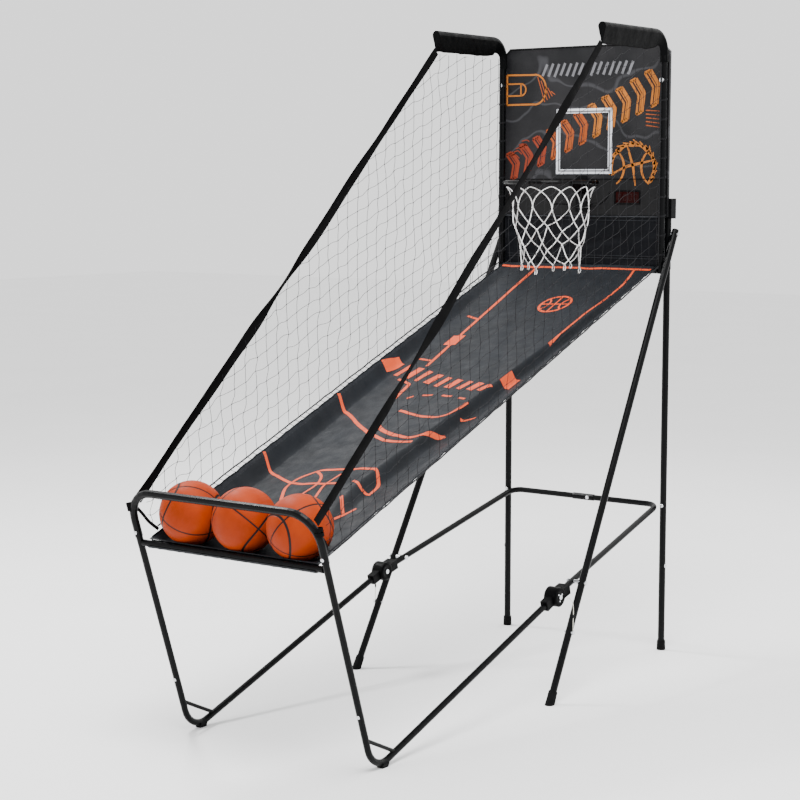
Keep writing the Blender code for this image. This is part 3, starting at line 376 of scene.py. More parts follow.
class Soup:
    """Collects several shapes into one mesh."""
    def __init__(self):
        self.v, self.f, self.n = [], [], 0

    def add(self, v, f):
        v = np.asarray(v, float)
        self.v.append(v)
        self.f += [[i + self.n for i in q] for q in f]
        self.n += len(v)

    def tube(self, pts, r, sides=6, cap=True):
        p = np.asarray(pts, float)
        t = np.gradient(p, axis=0)
        t /= np.linalg.norm(t, axis=1)[:, None] + 1e-12
        ref = np.array((0.0, 0, 1)) if abs(t[0][2]) < 0.9 else np.array((1.0, 0, 0))
        a = np.cross(t[0], ref)
        rs = np.broadcast_to(r, len(p))
        out = []
        ang = np.arange(sides) * 2 * math.pi / sides
        for i in range(len(p)):
            a = a - t[i] * (a @ t[i])
            a /= np.linalg.norm(a) + 1e-12
            b = np.cross(t[i], a)
            out.append(p[i] + rs[i] * (np.cos(ang)[:, None] * a + np.sin(ang)[:, None] * b))
        f = []
        for i in range(len(p) - 1):
            for k in range(sides):
                j = (k + 1) % sides
                f.append([i * sides + k, i * sides + j, (i + 1) * sides + j, (i + 1) * sides + k])
        if cap:
            f += [list(range(sides))[::-1], [(len(p) - 1) * sides + k for k in range(sides)]]
        self.add(np.vstack(out), f)

    def grid(self, g):
        g = np.asarray(g, float)
        a, b = g.shape[:2]
        f = [[i * b + j, i * b + j + 1, (i + 1) * b + j + 1, (i + 1) * b + j]
             for i in range(a - 1) for j in range(b - 1)]
        self.add(g.reshape(-1, 3), f)

    def knot(self, c, r, rows=5, cols=6):
        g = []
        for i in range(rows + 1):
            th = math.pi * i / rows
            for j in range(cols):
                ph = 2 * math.pi * j / cols
                g.append(np.array(c) + r * np.array((math.sin(th) * math.cos(ph), math.sin(th) * math.sin(ph), math.cos(th))))
        f = [[i * cols + j, i * cols + (j + 1) % cols, (i + 1) * cols + (j + 1) % cols, (i + 1) * cols + j]
             for i in range(rows) for j in range(cols)]
        self.add(g, f)

    def lathe(self, prof, c, axis, sides=20):
        q = Vector(axis).normalized().to_track_quat("Z", "Y").to_matrix()
        q = np.array(q)
        v = []
        for h, r in prof:
            for k in range(sides):
                a = 2 * math.pi * k / sides
                v.append(np.array(c) + q @ np.array((r * math.cos(a), r * math.sin(a), h)))
        n = len(prof)
        f = [[i * sides + k, i * sides + (k + 1) % sides, (i + 1) * sides + (k + 1) % sides, (i + 1) * sides + k]
             for i in range(n - 1) for k in range(sides)]
        f += [list(range(sides))[::-1], [(n - 1) * sides + k for k in range(sides)]]
        self.add(v, f)

    def make(self, name, mat, body, slot, replaces=(), smooth=True, origin=None):
        return piece(name, np.vstack(self.v), self.f, mat, body, replaces, smooth, origin)


def wob(u, seed, octaves=3):
    """Smooth repeatable wobble between about -1 and 1."""
    u = np.asarray(u, float)
    s = 0
    for k in range(octaves):
        s = s + np.sin(u * (1.0 + 0.83 * k) * 2 * math.pi + seed * (1.7 + k * 2.3)) / (1 + 0.6 * k)
    return s / 1.9


def smooth(a, b, v):
    t = np.clip((v - a) / (b - a), 0, 1)
    return t * t * (3 - 2 * t)


def resample(pts, step):
    p = np.asarray(pts, float)
    d = np.r_[0, np.cumsum(np.linalg.norm(np.diff(p, axis=0), axis=1))]
    n = max(2, int(d[-1] / step) + 1)
    s = np.linspace(0, d[-1], n)
    return np.stack([np.interp(s, d, p[:, k]) for k in range(p.shape[1])], 1)


def curve(pts, step=0.006):
    """Catmull-Rom through the points, evenly spaced."""
    p = np.asarray(pts, float)
    q = np.vstack([2 * p[0] - p[1], p, 2 * p[-1] - p[-2]])
    out = []
    for i in range(len(p) - 1):
        a, b, c, d = q[i:i + 4]
        for t in np.linspace(0, 1, 14, endpoint=False):
            out.append(0.5 * (2 * b + (c - a) * t + (2 * a - 5 * b + 4 * c - d) * t * t + (3 * b - a - 3 * c + d) * t ** 3))
    out.append(p[-1])
    return resample(out, step)


# ------------------------------------------------------------------ lanyards (cords)
ROUTE = ((0.3443, -0.678, 0.3010), (0.3500, -0.678, 0.3012), (0.3570, -0.678, 0.2990),
         (0.3640, -0.679, 0.2930), (0.3690, -0.681, 0.2830), (0.3722, -0.684, 0.2680),
         (0.3736, -0.686, 0.2500), (0.3738, -0.6875, 0.2300), (0.3738, -0.6876, 0.2064))
for tag, s in (("left", -1), ("right", 1)):
    pts = curve([(s * x, RY + y, z) for x, y, z in ROUTE], 0.0035)
    sp = Soup()
    sp.tube(pts, 0.001, 10)
    o = sp.make(f"lanyard_cord_{tag}", "clear_cord", "rear_frame", "clear_cord", (f"lanyard_{tag}",))
    k = Soup()
    at = pts[int(len(pts) * 0.62)]
    for dz in (-0.003, 0.0, 0.003):
        k.knot(at + np.array((0, 0, dz)), 0.0026, 7, 10)
    kn = k.make(f"lanyard_knot_{tag}", "net_cord", "rear_frame", "net_cord")

# ------------------------------------------------------------------ ramp
MH = 0.292
ZL = FB[2] + 0.0095 + 0.0003 + 0.004
ZH = RB[2] + 0.008 / math.cos(math.radians(30)) + 0.0003 + 0.004


def hem_z(y):
    return ZL + (ZH - ZL) * (y - FB[1]) / (RB[1] - FB[1])


def drop(x, y):
    """How far the ramp hangs below its hems' plane."""
    t = (y - FB[1]) / (RB[1] - FB[1])
    pocket = smooth(0, 0.040, y - FB[1])
    u = 0.0478 * (1 - np.abs(x / MH) ** 10)
    c = 0.284 + 0.109 * (y - RY + 0.034)
    wall = 0.052 * smooth(-MH, -0.245, x)
    floor_ = 0.052 - 0.049 * np.clip((x + 0.245) / (c + 0.245), 0, 1) ** 1.15
    f = np.clip((x - c) / np.maximum(1e-3, MH - c), 0, 1)
    side = 0.003 + 0.033 * smooth(0, 0.24, f) * (1 - smooth(0.35, 1.0, f)) * smooth(0.30, 0.26, c)
    d = np.where(x < -0.245, wall, np.where(x < c, floor_, side))
    w = smooth(0.10, 0.22, t)
    return pocket * (u * (1 - w) + d * w) * (1 - np.clip(t, 0, 1) ** 3)


def folds(x, y):
    """Small wrinkles: fine at the hems, long and soft on the bottom."""
    edge = np.exp(-(MH - np.abs(x)) / 0.03)
    t = (y - FB[1]) / (RB[1] - FB[1])
    a = 0.0016 * edge * wob(y * 16 + x * 9, 3.1)
    b = 0.0013 * wob(y * 2.3 + x * 5.0, 5.7) * (1 - edge)
    c = 0.0012 * wob(y * 5.5 - x * 8, 1.3) * np.clip(1 - t, 0, 1)
    return (a + b + c) * smooth(0.06, 0.16, t)


def mat_z(x, y):
    return hem_z(y) - drop(x, y) + folds(x, y)


xs = np.unique(np.r_[np.linspace(-MH, -0.24, 14), np.linspace(-0.24, 0.1, 34), np.linspace(0.1, MH, 44)])
ys = np.r_[np.linspace(FB[1], FB[1] + 0.05, 12), np.linspace(FB[1] + 0.055, RB[1], 190)]
X, Y = np.meshgrid(xs, ys)
Z = mat_z(X, Y)
thick = 0.0012
sp = Soup()
top = np.dstack([X, Y, Z])
sp.grid(top)
under = top.copy()
under[..., 2] -= thick
sp.grid(under[:, ::-1])
rim = lambda a, b: sp.grid(np.stack([a, b], 0))
for edge_a, edge_b in ((top[0], under[0]), (under[-1], top[-1]), (under[:, 0], top[:, 0]), (top[:, -1], under[:, -1])):
    rim(edge_a, edge_b)
ramp = sp.make("ramp", "fabric", "fold", "fabric", ("court_mat",))
wrap = Soup()
for bar, r, ang0, ang1 in ((FB, 0.0102, 90, -160), (RB, 0.0086, 90, 320)):
    g = []
    for x in np.linspace(-MH, MH, 90):
        row = []
        for a in np.radians(np.linspace(ang0, ang1, 18)):
            rr = r + 0.0016 + 0.0007 * wob(x * 30 + a, 2.2)
            row.append((x, bar[1] + rr * math.cos(a), bar[2] + rr * math.sin(a)))
        g.append(row)
    wrap.grid(g)
wrap_ob = wrap.make("ramp_sleeves", "fabric", "fold", "fabric")
st = Soup()
for s in (-1, 1):
    for y in np.arange(FB[1] + 0.06, RB[1] - 0.01, 0.0125):
        seg = [(s * (MH - 0.012), y + d, mat_z(s * (MH - 0.012), y + d) + 0.0005) for d in np.linspace(0, 0.0075, 4)]
        st.tube(seg, 0.0005, 4)
hem = Soup()
for s in (-1, 1):
    line = [(s * (MH - 0.001), y, mat_z(s * MH, y) + 0.0002) for y in np.linspace(FB[1] + 0.01, RB[1] - 0.01, 220)]
    hem.tube(line, 0.0022, 8)
hem_ob = hem.make("ramp_hem", "fabric", "fold", "fabric")
stitch_ob = st.make("ramp_stitching", "thread", "fold", "fabric")


def strip(soup, pts, width, taper=False):
    """A printed stroke that lies on the ramp."""
    p = resample(pts, 0.006)
    t = np.gradient(p, axis=0)
    t /= np.linalg.norm(t, axis=1)[:, None] + 1e-9
    nrm = np.stack([-t[:, 1], t[:, 0]], 1)
    n = max(3, int(width / 0.004))
    rows = []
    for k in np.linspace(-0.5, 0.5, n):
        q = p + nrm * width * k
        q[:, 0] = np.clip(q[:, 0], -MH + 0.002, MH - 0.002)
        rows.append(np.column_stack([q[:, 0], q[:, 1], mat_z(q[:, 0], q[:, 1]) + 0.0007]))
    soup.grid(np.stack(rows, 1))


def rel(pts):
    return [(x, RY + y) for x, y in pts]


pr = Soup()
STROKES = [
    ([(-0.286, -0.075), (0.286, -0.075)], 0.011),
    ([(-0.149, -0.075), (-0.152, -0.43), (-0.150, -0.56), (-0.140, -0.73)], 0.011),
    ([(-0.208, -0.402), (-0.152, -0.425)], 0.008),
    ([(-0.203, -0.680), (-0.148, -0.695)], 0.008),
    ([(-0.193, -0.807), (-0.126, -0.841)], 0.009),
    ([(0.228, -0.075), (0.247, -0.19), (0.242, -0.314), (0.228, -0.42), (0.226, -0.60)], 0.008),
    ([(-0.126, -0.841), (-0.118, -0.915), (-0.108, -0.98), (-0.080, -1.058), (-0.032, -1.118), (0.048, -1.163),
      (0.111, -1.184), (0.152, -1.174), (0.175, -1.148), (0.200, -1.118)], 0.013),
    ([(-0.070, -0.933), (-0.052, -0.923)], 0.008), ([(-0.022, -0.918), (0.014, -0.917)], 0.008),
    ([(0.054, -0.924), (0.094, -0.933)], 0.008), ([(0.129, -0.947), (0.157, -0.956)], 0.008),
    ([(-0.041, -1.010), (0.036, -1.042), (0.112, -1.062), (0.160, -1.056), (0.176, -1.018), (0.182, -0.978)], 0.010),
    ([(0.195, -1.034), (0.232, -1.008)], 0.008),
    ([(-0.286, -0.990), (-0.219, -1.026), (-0.110, -1.106), (-0.021, -1.162), (0.072, -1.206), (0.149, -1.210)], 0.011),
    ([(-0.286, -1.345), (-0.248, -1.361), (-0.111, -1.426), (0.002, -1.438), (0.057, -1.440)], 0.009),
    ([(-0.086, -1.510), (-0.117, -1.449), (-0.112, -1.397), (-0.071, -1.367), (0.0, -1.358), (0.128, -1.368),
      (0.160, -1.385), (0.172, -1.406), (0.173, -1.438)], 0.010),
    ([(-0.071, -1.367), (-0.030, -1.399), (-0.013, -1.447), (-0.034, -1.495)], 0.008),
    ([(0.030, -1.385), (0.019, -1.441), (0.031, -1.510)], 0.008),
    ([(0.108, -1.431), (0.142, -1.446), (0.176, -1.442)], 0.008),
    ([(0.118, -1.498), (0.152, -1.535)], 0.009), ([(0.143, -1.562), (0.175, -1.505)], 0.007),
]
for pts, w in STROKES:
    strip(pr, curve(rel(pts), 0.006) if len(pts) > 2 else rel(pts), w)
strip(pr, rel([(-0.152, -0.590), (-0.152, -0.530)]), 0.046)
strip(pr, rel([(0.216, -0.835), (0.222, -0.780)]), 0.034)
# a row of plain slanted bars across the lane, and a plain ball emblem
for i, (x, y) in enumerate(rel([(-0.262, -0.742), (-0.212, -0.752), (-0.160, -0.772), (-0.108, -0.793), (-0.056, -0.813),
                                (-0.006, -0.834), (0.044, -0.850), (0.094, -0.864), (0.140, -0.876), (0.180, -0.886)])):
    h = 0.034 - 0.0016 * i
    strip(pr, [(x - 0.010, y - h), (x + 0.010, y + h)], 0.020 if i % 2 else 0.030)
cx, cy = 0.078, RY - 0.326
a = np.linspace(0, 2 * math.pi, 40)
strip(pr, np.column_stack([cx + 0.052 * np.cos(a), cy + 0.052 * np.sin(a)]), 0.009)
strip(pr, [(cx - 0.05, cy), (cx + 0.05, cy)], 0.006)
strip(pr, [(cx, cy - 0.05), (cx, cy + 0.05)], 0.006)
for s in (-1, 1):
    a = np.linspace(-0.95, 0.95, 16)
    strip(pr, np.column_stack([cx + s * (0.068 - 0.046 * np.cos(a)), cy + 0.046 * np.sin(a)]), 0.006)
pr.make("ramp_print", "orange", "fold", "fabric")

# ------------------------------------------------------------------ side nets, webbing
for tag, s in (("left", -1), ("right", 1)):
    nlo, nhi = box(f"side_net_{tag}")
    x0 = (nlo[0] + nhi[0]) / 2
    top_z, back_y = nhi[2], nhi[1]
    arm_tip = box(f"arm_sleeve_{tag}")[0][1] + 0.012
    fy0, fz0 = FB[1] - 0.008, 0.702                      # front corner at the rail
    fy1, fz1 = arm_tip, top_z

    def hemline(y):
        return hem_z(y) + 0.006

    def front_z(y):
        """Height of the slanting front edge above a place."""
        return fz0 + (fz1 - fz0) * (y - fy0) / (fy1 - fy0)

    def ceiling(y):
        return np.minimum(front_z(y), top_z)

    def net_pt(y, z):
        h = np.clip((z - hemline(y)) / 0.8, 0, 1)
        slack = 1 - smooth(FB[1], FB[1] + 0.9, y) * 0.6
        dy = (0.0055 * slack + 0.002) * wob(z * 7 + y * 2, 3 + y * 7 + s)
        dz = (0.006 * slack + 0.002) * wob(y * 6 + z * 3, 1.1 + s * 2)
        dx = 0.006 * wob(y * 1.7 + z * 2.1, 4 + s) * np.clip(h * 6, 0, 1)
        return np.column_stack([x0 + dx, y + dy, np.maximum(z + dz, hemline(y) - 0.004)])

    net = Soup()
    cols = np.arange(FB[1] + 0.03, back_y - 0.004, 0.049)
    pitch = 0.045
    for y in cols:
        z = np.arange(hemline(y), ceiling(y) + 0.006, 0.012)
        if len(z) > 3:
            net.tube(net_pt(np.full_like(z, y), z), 0.0007, 5)
    for k in range(1, 32):
        y = np.arange(FB[1] - 0.0, back_y, 0.012)
        z = hemline(y) + pitch * k
        ok = (z < ceiling(y)) & (y > FB[1] + 0.01)
        if ok.sum() > 2:
            net.tube(net_pt(y[ok], z[ok]), 0.0007, 5)
        for yc in cols:
            zc = hemline(yc) + pitch * k
            if zc < ceiling(yc):
                net.knot(net_pt(np.array([yc]), np.array([zc]))[0], 0.0019, 4, 6)
    net.make(f"net_{tag}", "net_cord", "fold", "net_cord", (f"side_net_{tag}",))
    # front webbing, twisting a little on its way down to the rail
    band = Soup()
    a, b = np.array((x0, fy1 - 0.010, fz1 + 0.006)), np.array((x0 + s * 0.004, fy0 - 0.018, fz0 - 0.004))
    n = 150
    u = np.linspace(0, 1, n)
    line = a + (b - a) * u[:, None]
    line[:, 2] -= 0.012 * np.sin(math.pi * u)
    line[:, 0] += 0.003 * wob(u * 2, 2 + s)
    t = (b - a) / np.linalg.norm(b - a)
    side_ = np.cross(t, (s, 0, 0))
    out_ = np.array((s, 0, 0.0))
    wdt = 0.0135 + 0.002 * wob(u * 3.1, 5 + s)
    tw = 0.5 * wob(u * 2.4, 0.7 + s) * np.sin(math.pi * u)
    rows = []
    for k in np.linspace(-1, 1, 7):
        d = np.cos(tw)[:, None] * side_ + np.sin(tw)[:, None] * out_
        nn = -np.sin(tw)[:, None] * side_ + np.cos(tw)[:, None] * out_
        rows.append(line + d * (wdt * k)[:, None] + nn * 0.0018 * (1 - k * k))
    g = np.stack(rows, 1)
    band.grid(g)
    band.grid((g + out_ * -0.0016)[:, ::-1])
    band.make(f"front_band_{tag}", "web", "fold", "net_cord")
    # edge tapes along the upright and the hem
    tape = Soup()
    y = np.linspace(FB[1] + 0.05, back_y, 120)
    tape.tube(np.column_stack([np.full_like(y, x0) + 0.001 * wob(y * 9, 2), y, hemline(y) + 0.001 * wob(y * 7, 4)]), 0.0022, 6)
    lace = np.arange(FB[1] + 0.06, back_y - 0.01, 0.0245)
    for yy in lace:
        tape.tube([(x0, yy, hemline(yy)), (s * (MH + 0.004), yy + 0.006, hem_z(yy) + 0.001), (s * (MH - 0.006), yy + 0.012, mat_z(s * (MH - 0.006), yy + 0.012) + 0.002)], 0.0009, 5)
    tape.make(f"net_edge_{tag}", "net_cord", "fold", "net_cord")
    rear_edge = Soup()
    z = np.linspace(hemline(back_y) + 0.01, box(f"arm_sleeve_{tag}")[0][2], 60)
    rear_edge.tube(np.column_stack([np.full_like(z, x0), np.full_like(z, back_y - 0.001), z]), 0.0018, 6)
    UP = mid(f"upright_arm_{tag}")[0]
    UY = box(f"upright_arm_{tag}")[1][1] - 0.011
    for zz in np.arange(z[0] + 0.03, z[-1] - 0.01, 0.062):
        for dz in (0, 0.0028):
            ang = np.linspace(0, 2 * math.pi, 25)
            rear_edge.tube(np.column_stack([UP + 0.0124 * np.cos(ang), UY + 0.0124 * np.sin(ang), np.full_like(ang, zz + dz) + 0.003 * np.sin(ang)]), 0.0011, 5, False)
    rear_edge.make(f"net_lashing_{tag}", "net_cord", "rear_frame", "net_cord")
    # strap round the rail, and the short tie down to the hem
    tie = Soup()
    for j, zc in enumerate((0.672, 0.684)):
        yc = FB[1] - (zc - FB[2]) * math.tan(math.radians(18.3))
        ang = np.linspace(0, 2 * math.pi, 31)
        ring = np.column_stack([s * 0.325 + 0.0128 * np.cos(ang), yc + 0.0128 * np.sin(ang), zc + 0.002 * np.sin(ang + j)])
        up_ = np.array((0, -0.3, 0.95)) * 0.0055
        tie.grid(np.stack([ring - up_, ring, ring + up_], 1))
    drop_ = curve([(s * 0.3125, FB[1] - 0.030, 0.678), (s * 0.3135, FB[1] - 0.004, 0.655), (s * 0.3105, FB[1] + 0.018, 0.630), (s * 0.2960, FB[1] + 0.040, 0.607)], 0.004)
    d_ = np.array((0, 0.75, 0.62)) * 0.0052
    tie.grid(np.stack([drop_ - d_, drop_, drop_ + d_], 1))
    tie.make(f"rail_strap_{tag}", "web", "front_frame", "net_cord")
    # sleeve over the arm
    slo = box(f"arm_sleeve_{tag}")[0]
    arm_z = box(f"upright_arm_{tag}")[1][2] - 0.011
    R = 0.060
    path = []
    ytip = slo[1] + 0.0015
    for yy in np.linspace(ytip, UY - R, 46):
        path.append(((0, yy, arm_z), (0, 0, -1)))
    for a_ in np.linspace(0, math.pi / 2, 18)[1:]:
        path.append(((0, UY - R + R * math.sin(a_), arm_z - R + R * math.cos(a_)), (0, -math.sin(a_), -math.cos(a_))))
    for zz in np.linspace(arm_z - R, slo[2] + 0.001, 8)[1:]:
        path.append(((0, UY, zz), (0, -1, 0)))
    g, m_ = [], 34
    for i, (p_, dn) in enumerate(path):
        dn = np.array(dn, float)
        u_ = i / len(path)
        row = []
        for k in range(m_):
            a_ = 2 * math.pi * k / m_
            c_, s_ = math.cos(a_), math.sin(a_)
            down = s_ if s_ > 0 else 0
            depth = 0.0155 + 0.036 * (1 - smooth(0.52, 0.93, u_)) + 0.0012 * wob(u_ * 6, 3 + s)
            rad = s_ * (depth if s_ > 0 else 0.0150)
            wide = (0.0137 * (1 - down) + 0.0035 * down) * (1 if abs(c_) > 1e-6 else 0)
            wide += 0.0008 * wob(u_ * 9 + down * 2, 1 + s) + 0.0009 * wob(u_ * 21 - down * 3, 6) * down
            row.append(np.array(p_) + dn * rad + np.array((x0 + c_ * (wide if down > 0 else 0.0140), 0, 0)))
        row.append(row[0])
        g.append(row)
    sl = Soup()
    sl.grid(g)
    tipc = np.mean(g[0][:-1], axis=0)
    sl.grid([g[0], [tipc + (np.array(q) - tipc) * 0.5 + np.array((0, -0.0008, 0)) for q in g[0]], [tipc + (np.array(q) - tipc) * 0.02 for q in g[0]]])
    tip2 = np.mean(g[-1][:-1], axis=0)
    sl.grid([g[-1], [tip2 + (np.array(q) - tip2) * 0.5 for q in g[-1]]])
    seam = Soup()
    seam.tube([np.array(r_[m_ // 4]) + np.array((0, 0, 0.0)) for r_ in g], 0.0013, 6)
    sl.make(f"arm_cover_{tag}", "satin", "rear_frame", "fabric", (f"arm_sleeve_{tag}",))
    seam.make(f"arm_cover_seam_{tag}", "web", "rear_frame", "fabric")

# ------------------------------------------------------------------ rear panel under the board
plo, phi = box("rear_panel")
g = []
for z in np.linspace(plo[2] - 0.030, phi[2] + 0.0004, 30):
    row = []
    for x in np.linspace(-0.312, 0.312, 90):
        v = (z - plo[2]) / (phi[2] - plo[2])
        w = 0.0028 * wob(x * 5 + z * 3, 2.4) * math.sin(math.pi * v) + 0.0016 * wob(x * 2 - z * 14, 4.4)
        row.append((x, plo[1] + 0.0015 + w * 0.8, z))
    g.append(row)
sp = Soup()
sp.grid(g)
rp = sp.make("panel_fabric", "panel", "rear_frame", "fabric", ("rear_panel",))
pt = Soup()
for zz in (plo[2] + 0.012, plo[2] + 0.020, phi[2] - 0.012):
    pt.tube([(x, plo[1] - 0.0012, zz) for x in np.linspace(plo[0] + 0.004, phi[0] - 0.004, 60)], 0.0007, 5)
pt.tube([(x, BF - 0.0006, phi[2] + 0.0004) for x in np.linspace(-0.312, 0.312, 60)], 0.0026, 6)
pt.make("panel_stitching", "thread", "rear_frame", "fabric")

# ------------------------------------------------------------------ backboard print and trim
FACE = BF - 0.0005


def flat(soup, pts, width):
    p = resample(pts, 0.005)
    t = np.gradient(p, axis=0)
    t /= np.linalg.norm(t, axis=1)[:, None] + 1e-9
    w = np.interp(np.linspace(0, 1, len(p)), np.linspace(0, 1, np.size(width)), np.atleast_1d(width))
    n = np.stack([-t[:, 1], t[:, 0]], 1) * w[:, None] / 2
    soup.grid(np.stack([np.column_stack([q[:, 0], np.full(len(q), FACE), q[:, 1]]) for q in (p - n, p, p + n)], 1))


blo, bhi = box("backboard")
wh = Soup()
ctr = np.array((0.0045, 1.689))
half = np.array((0.1075, 0.108))


def square(soup, inner, outer, lift):
    rows = []
    for inset in (inner, outer):
        q = [ctr + (half - inset) * np.array(c) for c in ((-1, -1), (1, -1), (1, 1), (-1, 1))]
        rows.append([(x, FACE - lift, z) for x, z in np.vstack([np.linspace(q[i], q[(i + 1) % 4], 20) for i in range(4)])])
    soup.grid(rows)


square(wh, 0.0075, 0.0, 0.0002)
square(wh, 0.0155, 0.0125, 0.0002)
wh.make("board_square", "white", "rear_frame", "board")
dk = Soup()
square(dk, 0.0125, 0.0075, 0.0002)
for i, x in enumerate(np.linspace(-0.150, 0.178, 15)):
    flat(dk, [(x - 0.009, 1.908 - 0.0022 * (i % 3)), (x + 0.009, 1.946 + 0.0022 * (i % 2))], 0.0095)
dk.make("board_dashes", "grey", "rear_frame", "board")
og = Soup()
# half court drawing
for L_, w_ in (([(-0.300, 1.915), (-0.190, 1.913)], 0.006), ([(-0.300, 1.815), (-0.190, 1.815)], 0.006),
               ([(-0.300, 1.815), (-0.300, 1.915)], 0.006), ([(-0.300, 1.845), (-0.245, 1.845), (-0.245, 1.885), (-0.300, 1.885)], 0.005)):
    flat(og, L_, w_)
a_ = np.linspace(-math.pi / 2, math.pi / 2, 22)
flat(og, np.column_stack([-0.190 + 0.045 * np.cos(a_), 1.864 + 0.050 * np.sin(a_)]), 0.006)
flat(og, np.column_stack([-0.245 + 0.020 * np.cos(a_), 1.865 + 0.020 * np.sin(a_)]), 0.005)
# ball drawing
bc = (0.190, 1.602)


def above(pts):
    """Only what lies above the foot of the drawing."""
    q = resample(pts, 0.005)
    return q[q[:, 1] > 1.540]


a_ = np.linspace(-0.75, math.pi + 0.35, 60)
wid = 0.011 + 0.004 * np.sin(a_ * 9)
flat(og, above(np.column_stack([bc[0] + (0.080 + 0.002 * np.sin(a_ * 7)) * np.cos(a_), bc[1] + 0.074 * np.sin(a_)])), wid)
flat(og, above([(bc[0] - 0.074, bc[1] - 0.020), (bc[0] - 0.02, bc[1] + 0.004), (bc[0] + 0.072, bc[1] + 0.022)]), (0.006, 0.010, 0.005))
flat(og, above([(bc[0] + 0.010, bc[1] - 0.060), (bc[0] + 0.002, bc[1]), (bc[0] - 0.020, bc[1] + 0.068)]), (0.005, 0.009, 0.006))
a_ = np.linspace(-1.0, 1.0, 18)
for s in (-1, 1):
    flat(og, above(np.column_stack([bc[0] + s * (0.094 - 0.062 * np.cos(a_)), bc[1] + 0.064 * np.sin(a_)])), (0.005, 0.009, 0.005))
for i in range(17):
    a0 = -0.5 + i * 0.235
    p0 = np.array((bc[0] + 0.083 * math.cos(a0), bc[1] + 0.080 * math.sin(a0)))
    d_ = np.array((math.cos(a0 + 1.1), math.sin(a0 + 1.1)))
    flat(og, [p0 - d_ * 0.008, p0 + d_ * (0.010 + 0.005 * (i % 3))], (0.009, 0.003))
og.make("board_drawing", "amber", "rear_frame", "board")
# plain chevrons that climb across the board, and loose strokes beside them
rows3 = [Soup(), Soup(), Soup()]
for i in range(11):
    u_ = i / 10
    tier = rows3[0 if u_ > 0.55 else 1 if u_ > 0.24 else 2]
    c_ = np.array((-0.272 + 0.535 * u_, 1.612 + 0.248 * u_))
    up_ = np.array((-math.sin(0.22), math.cos(0.22))) * (0.044 + 0.012 * u_)
    out_ = np.array((math.cos(0.42), math.sin(0.42))) * 0.026
    for back_, w_ in ((0.0, 0.0125), (0.42, 0.0040), (0.85, 0.0075)):
        o_ = c_ - out_ * back_
        flat(tier, [o_ - up_, o_ + out_ * 0.8, o_ + up_], w_)
    flat(tier, [c_ - up_ - out_ * 0.85, c_ - up_], 0.009)
    flat(tier, [c_ + up_ - out_ * 0.85, c_ + up_], 0.009)
for k in range(5):
    flat(rows3[2], curve([(-0.288 + 0.012 * k, 1.640 + 0.013 * k), (-0.268 + 0.012 * k, 1.648 + 0.012 * k), (-0.250 + 0.010 * k, 1.634 + 0.014 * k)]), 0.0035)
    flat(rows3[1], [(0.236, 1.738 + 0.012 * k), (0.290, 1.730 + 0.013 * k)], (0.004, 0.0015))
    flat(rows3[1], [(-0.178 + 0.013 * k, 1.905 - 0.012 * k), (-0.150 + 0.010 * k, 1.822 + 0.006 * k)], 0.003)
for tier, ink_, tag in zip(rows3, ("amber", "orange_dim", "red"), ("upper", "middle", "lower")):
    tier.make(f"board_chevrons_{tag}", ink_, "rear_frame", "board")
trim = Soup()
edge = [(blo[0], blo[2]), (bhi[0], blo[2]), (bhi[0], bhi[2] - 0.03), (bhi[0] - 0.03, bhi[2]), (blo[0] + 0.03, bhi[2]), (blo[0], bhi[2] - 0.03), (blo[0], blo[2])]
inset = [(x * 0.990, blo[2] + (z - blo[2]) * 0.988 + 0.003) for x, z in edge]
trim.tube([(x, BF + 0.0002, z) for x, z in resample(inset, 0.01)], 0.0022, 6)
trim.tube([(x, BF - 0.0002, blo[2] + 0.123) for x in np.linspace(blo[0] + 0.006, bhi[0] - 0.006, 50)], 0.0016, 6)
trim.make("board_trim", "black_plastic", "rear_frame", "black_plastic")
# window frame and plain segment digits
wlo, whi = box("display_window")
wf = Soup()
wr = [(wlo[0] - 0.003, wlo[2] - 0.003), (whi[0] + 0.003, wlo[2] - 0.003), (whi[0] + 0.003, whi[2] + 0.003), (wlo[0] - 0.003, whi[2] + 0.003), (wlo[0] - 0.003, wlo[2] - 0.003)]
wf.tube([(x, BF - 0.0008, z) for x, z in resample(wr, 0.006)], 0.0024, 6)
wf.make("window_frame", "black_plastic", "rear_frame", "black_plastic")
dg = Soup()
for c_ in (wlo[0] + 0.014, wlo[0] + 0.034, wlo[0] + 0.054, wlo[0] + 0.074):
    zc = (wlo[2] + whi[2]) / 2
    for (ax_, az_), (bx_, bz_) in (((-5, 10), (5, 10)), ((-5, -10), (5, -10)), ((-5, 1), (-5, 9)), ((5, 1), (5, 9)), ((-5, -9), (-5, -1)), ((5, -9), (5, -1))):
        flat(dg, [(c_ + ax_ / 1000, zc + az_ / 1000), (c_ + bx_ / 1000, zc + bz_ / 1000)], 0.0022)
dg.make("window_digits", "digit", "rear_frame", "red_window")

# ------------------------------------------------------------------ hoop net
nlo, nhi = box("hoop_net")
c0 = np.array(((nlo[0] + nhi[0]) / 2, (nlo[1] + nhi[1]) / 2))
Zt, Zb = nhi[2], nlo[2]
hn, hooks = Soup(), Soup()
N, LV = 7, 4


def net_node(i, k):
    """Crossing k down from the ring on strand i, counted in half pitches."""
    a = 2 * math.pi * (i + 0.35) / N + 0.10 * math.sin(2.3 * i + 1.7 * k) * min(1, k / 2)
    u = k / LV
    r = 0.146 - 0.054 * u ** 0.8 + 0.006 * math.sin(3 * a + 1.2) * u
    z = Zt - 0.010 - (Zt - Zb - 0.03) * u ** 0.92 + 0.007 * math.sin(2.7 * a + 0.6 + k) * min(1, k)
    return np.array((c0[0] + r * math.cos(a), c0[1] + r * math.sin(a), z))


def shift(p, da):
    q = p[:2] - c0
    return np.array((*(c0 + (q[0] * math.cos(da) - q[1] * math.sin(da), q[0] * math.sin(da) + q[1] * math.cos(da))), p[2]))


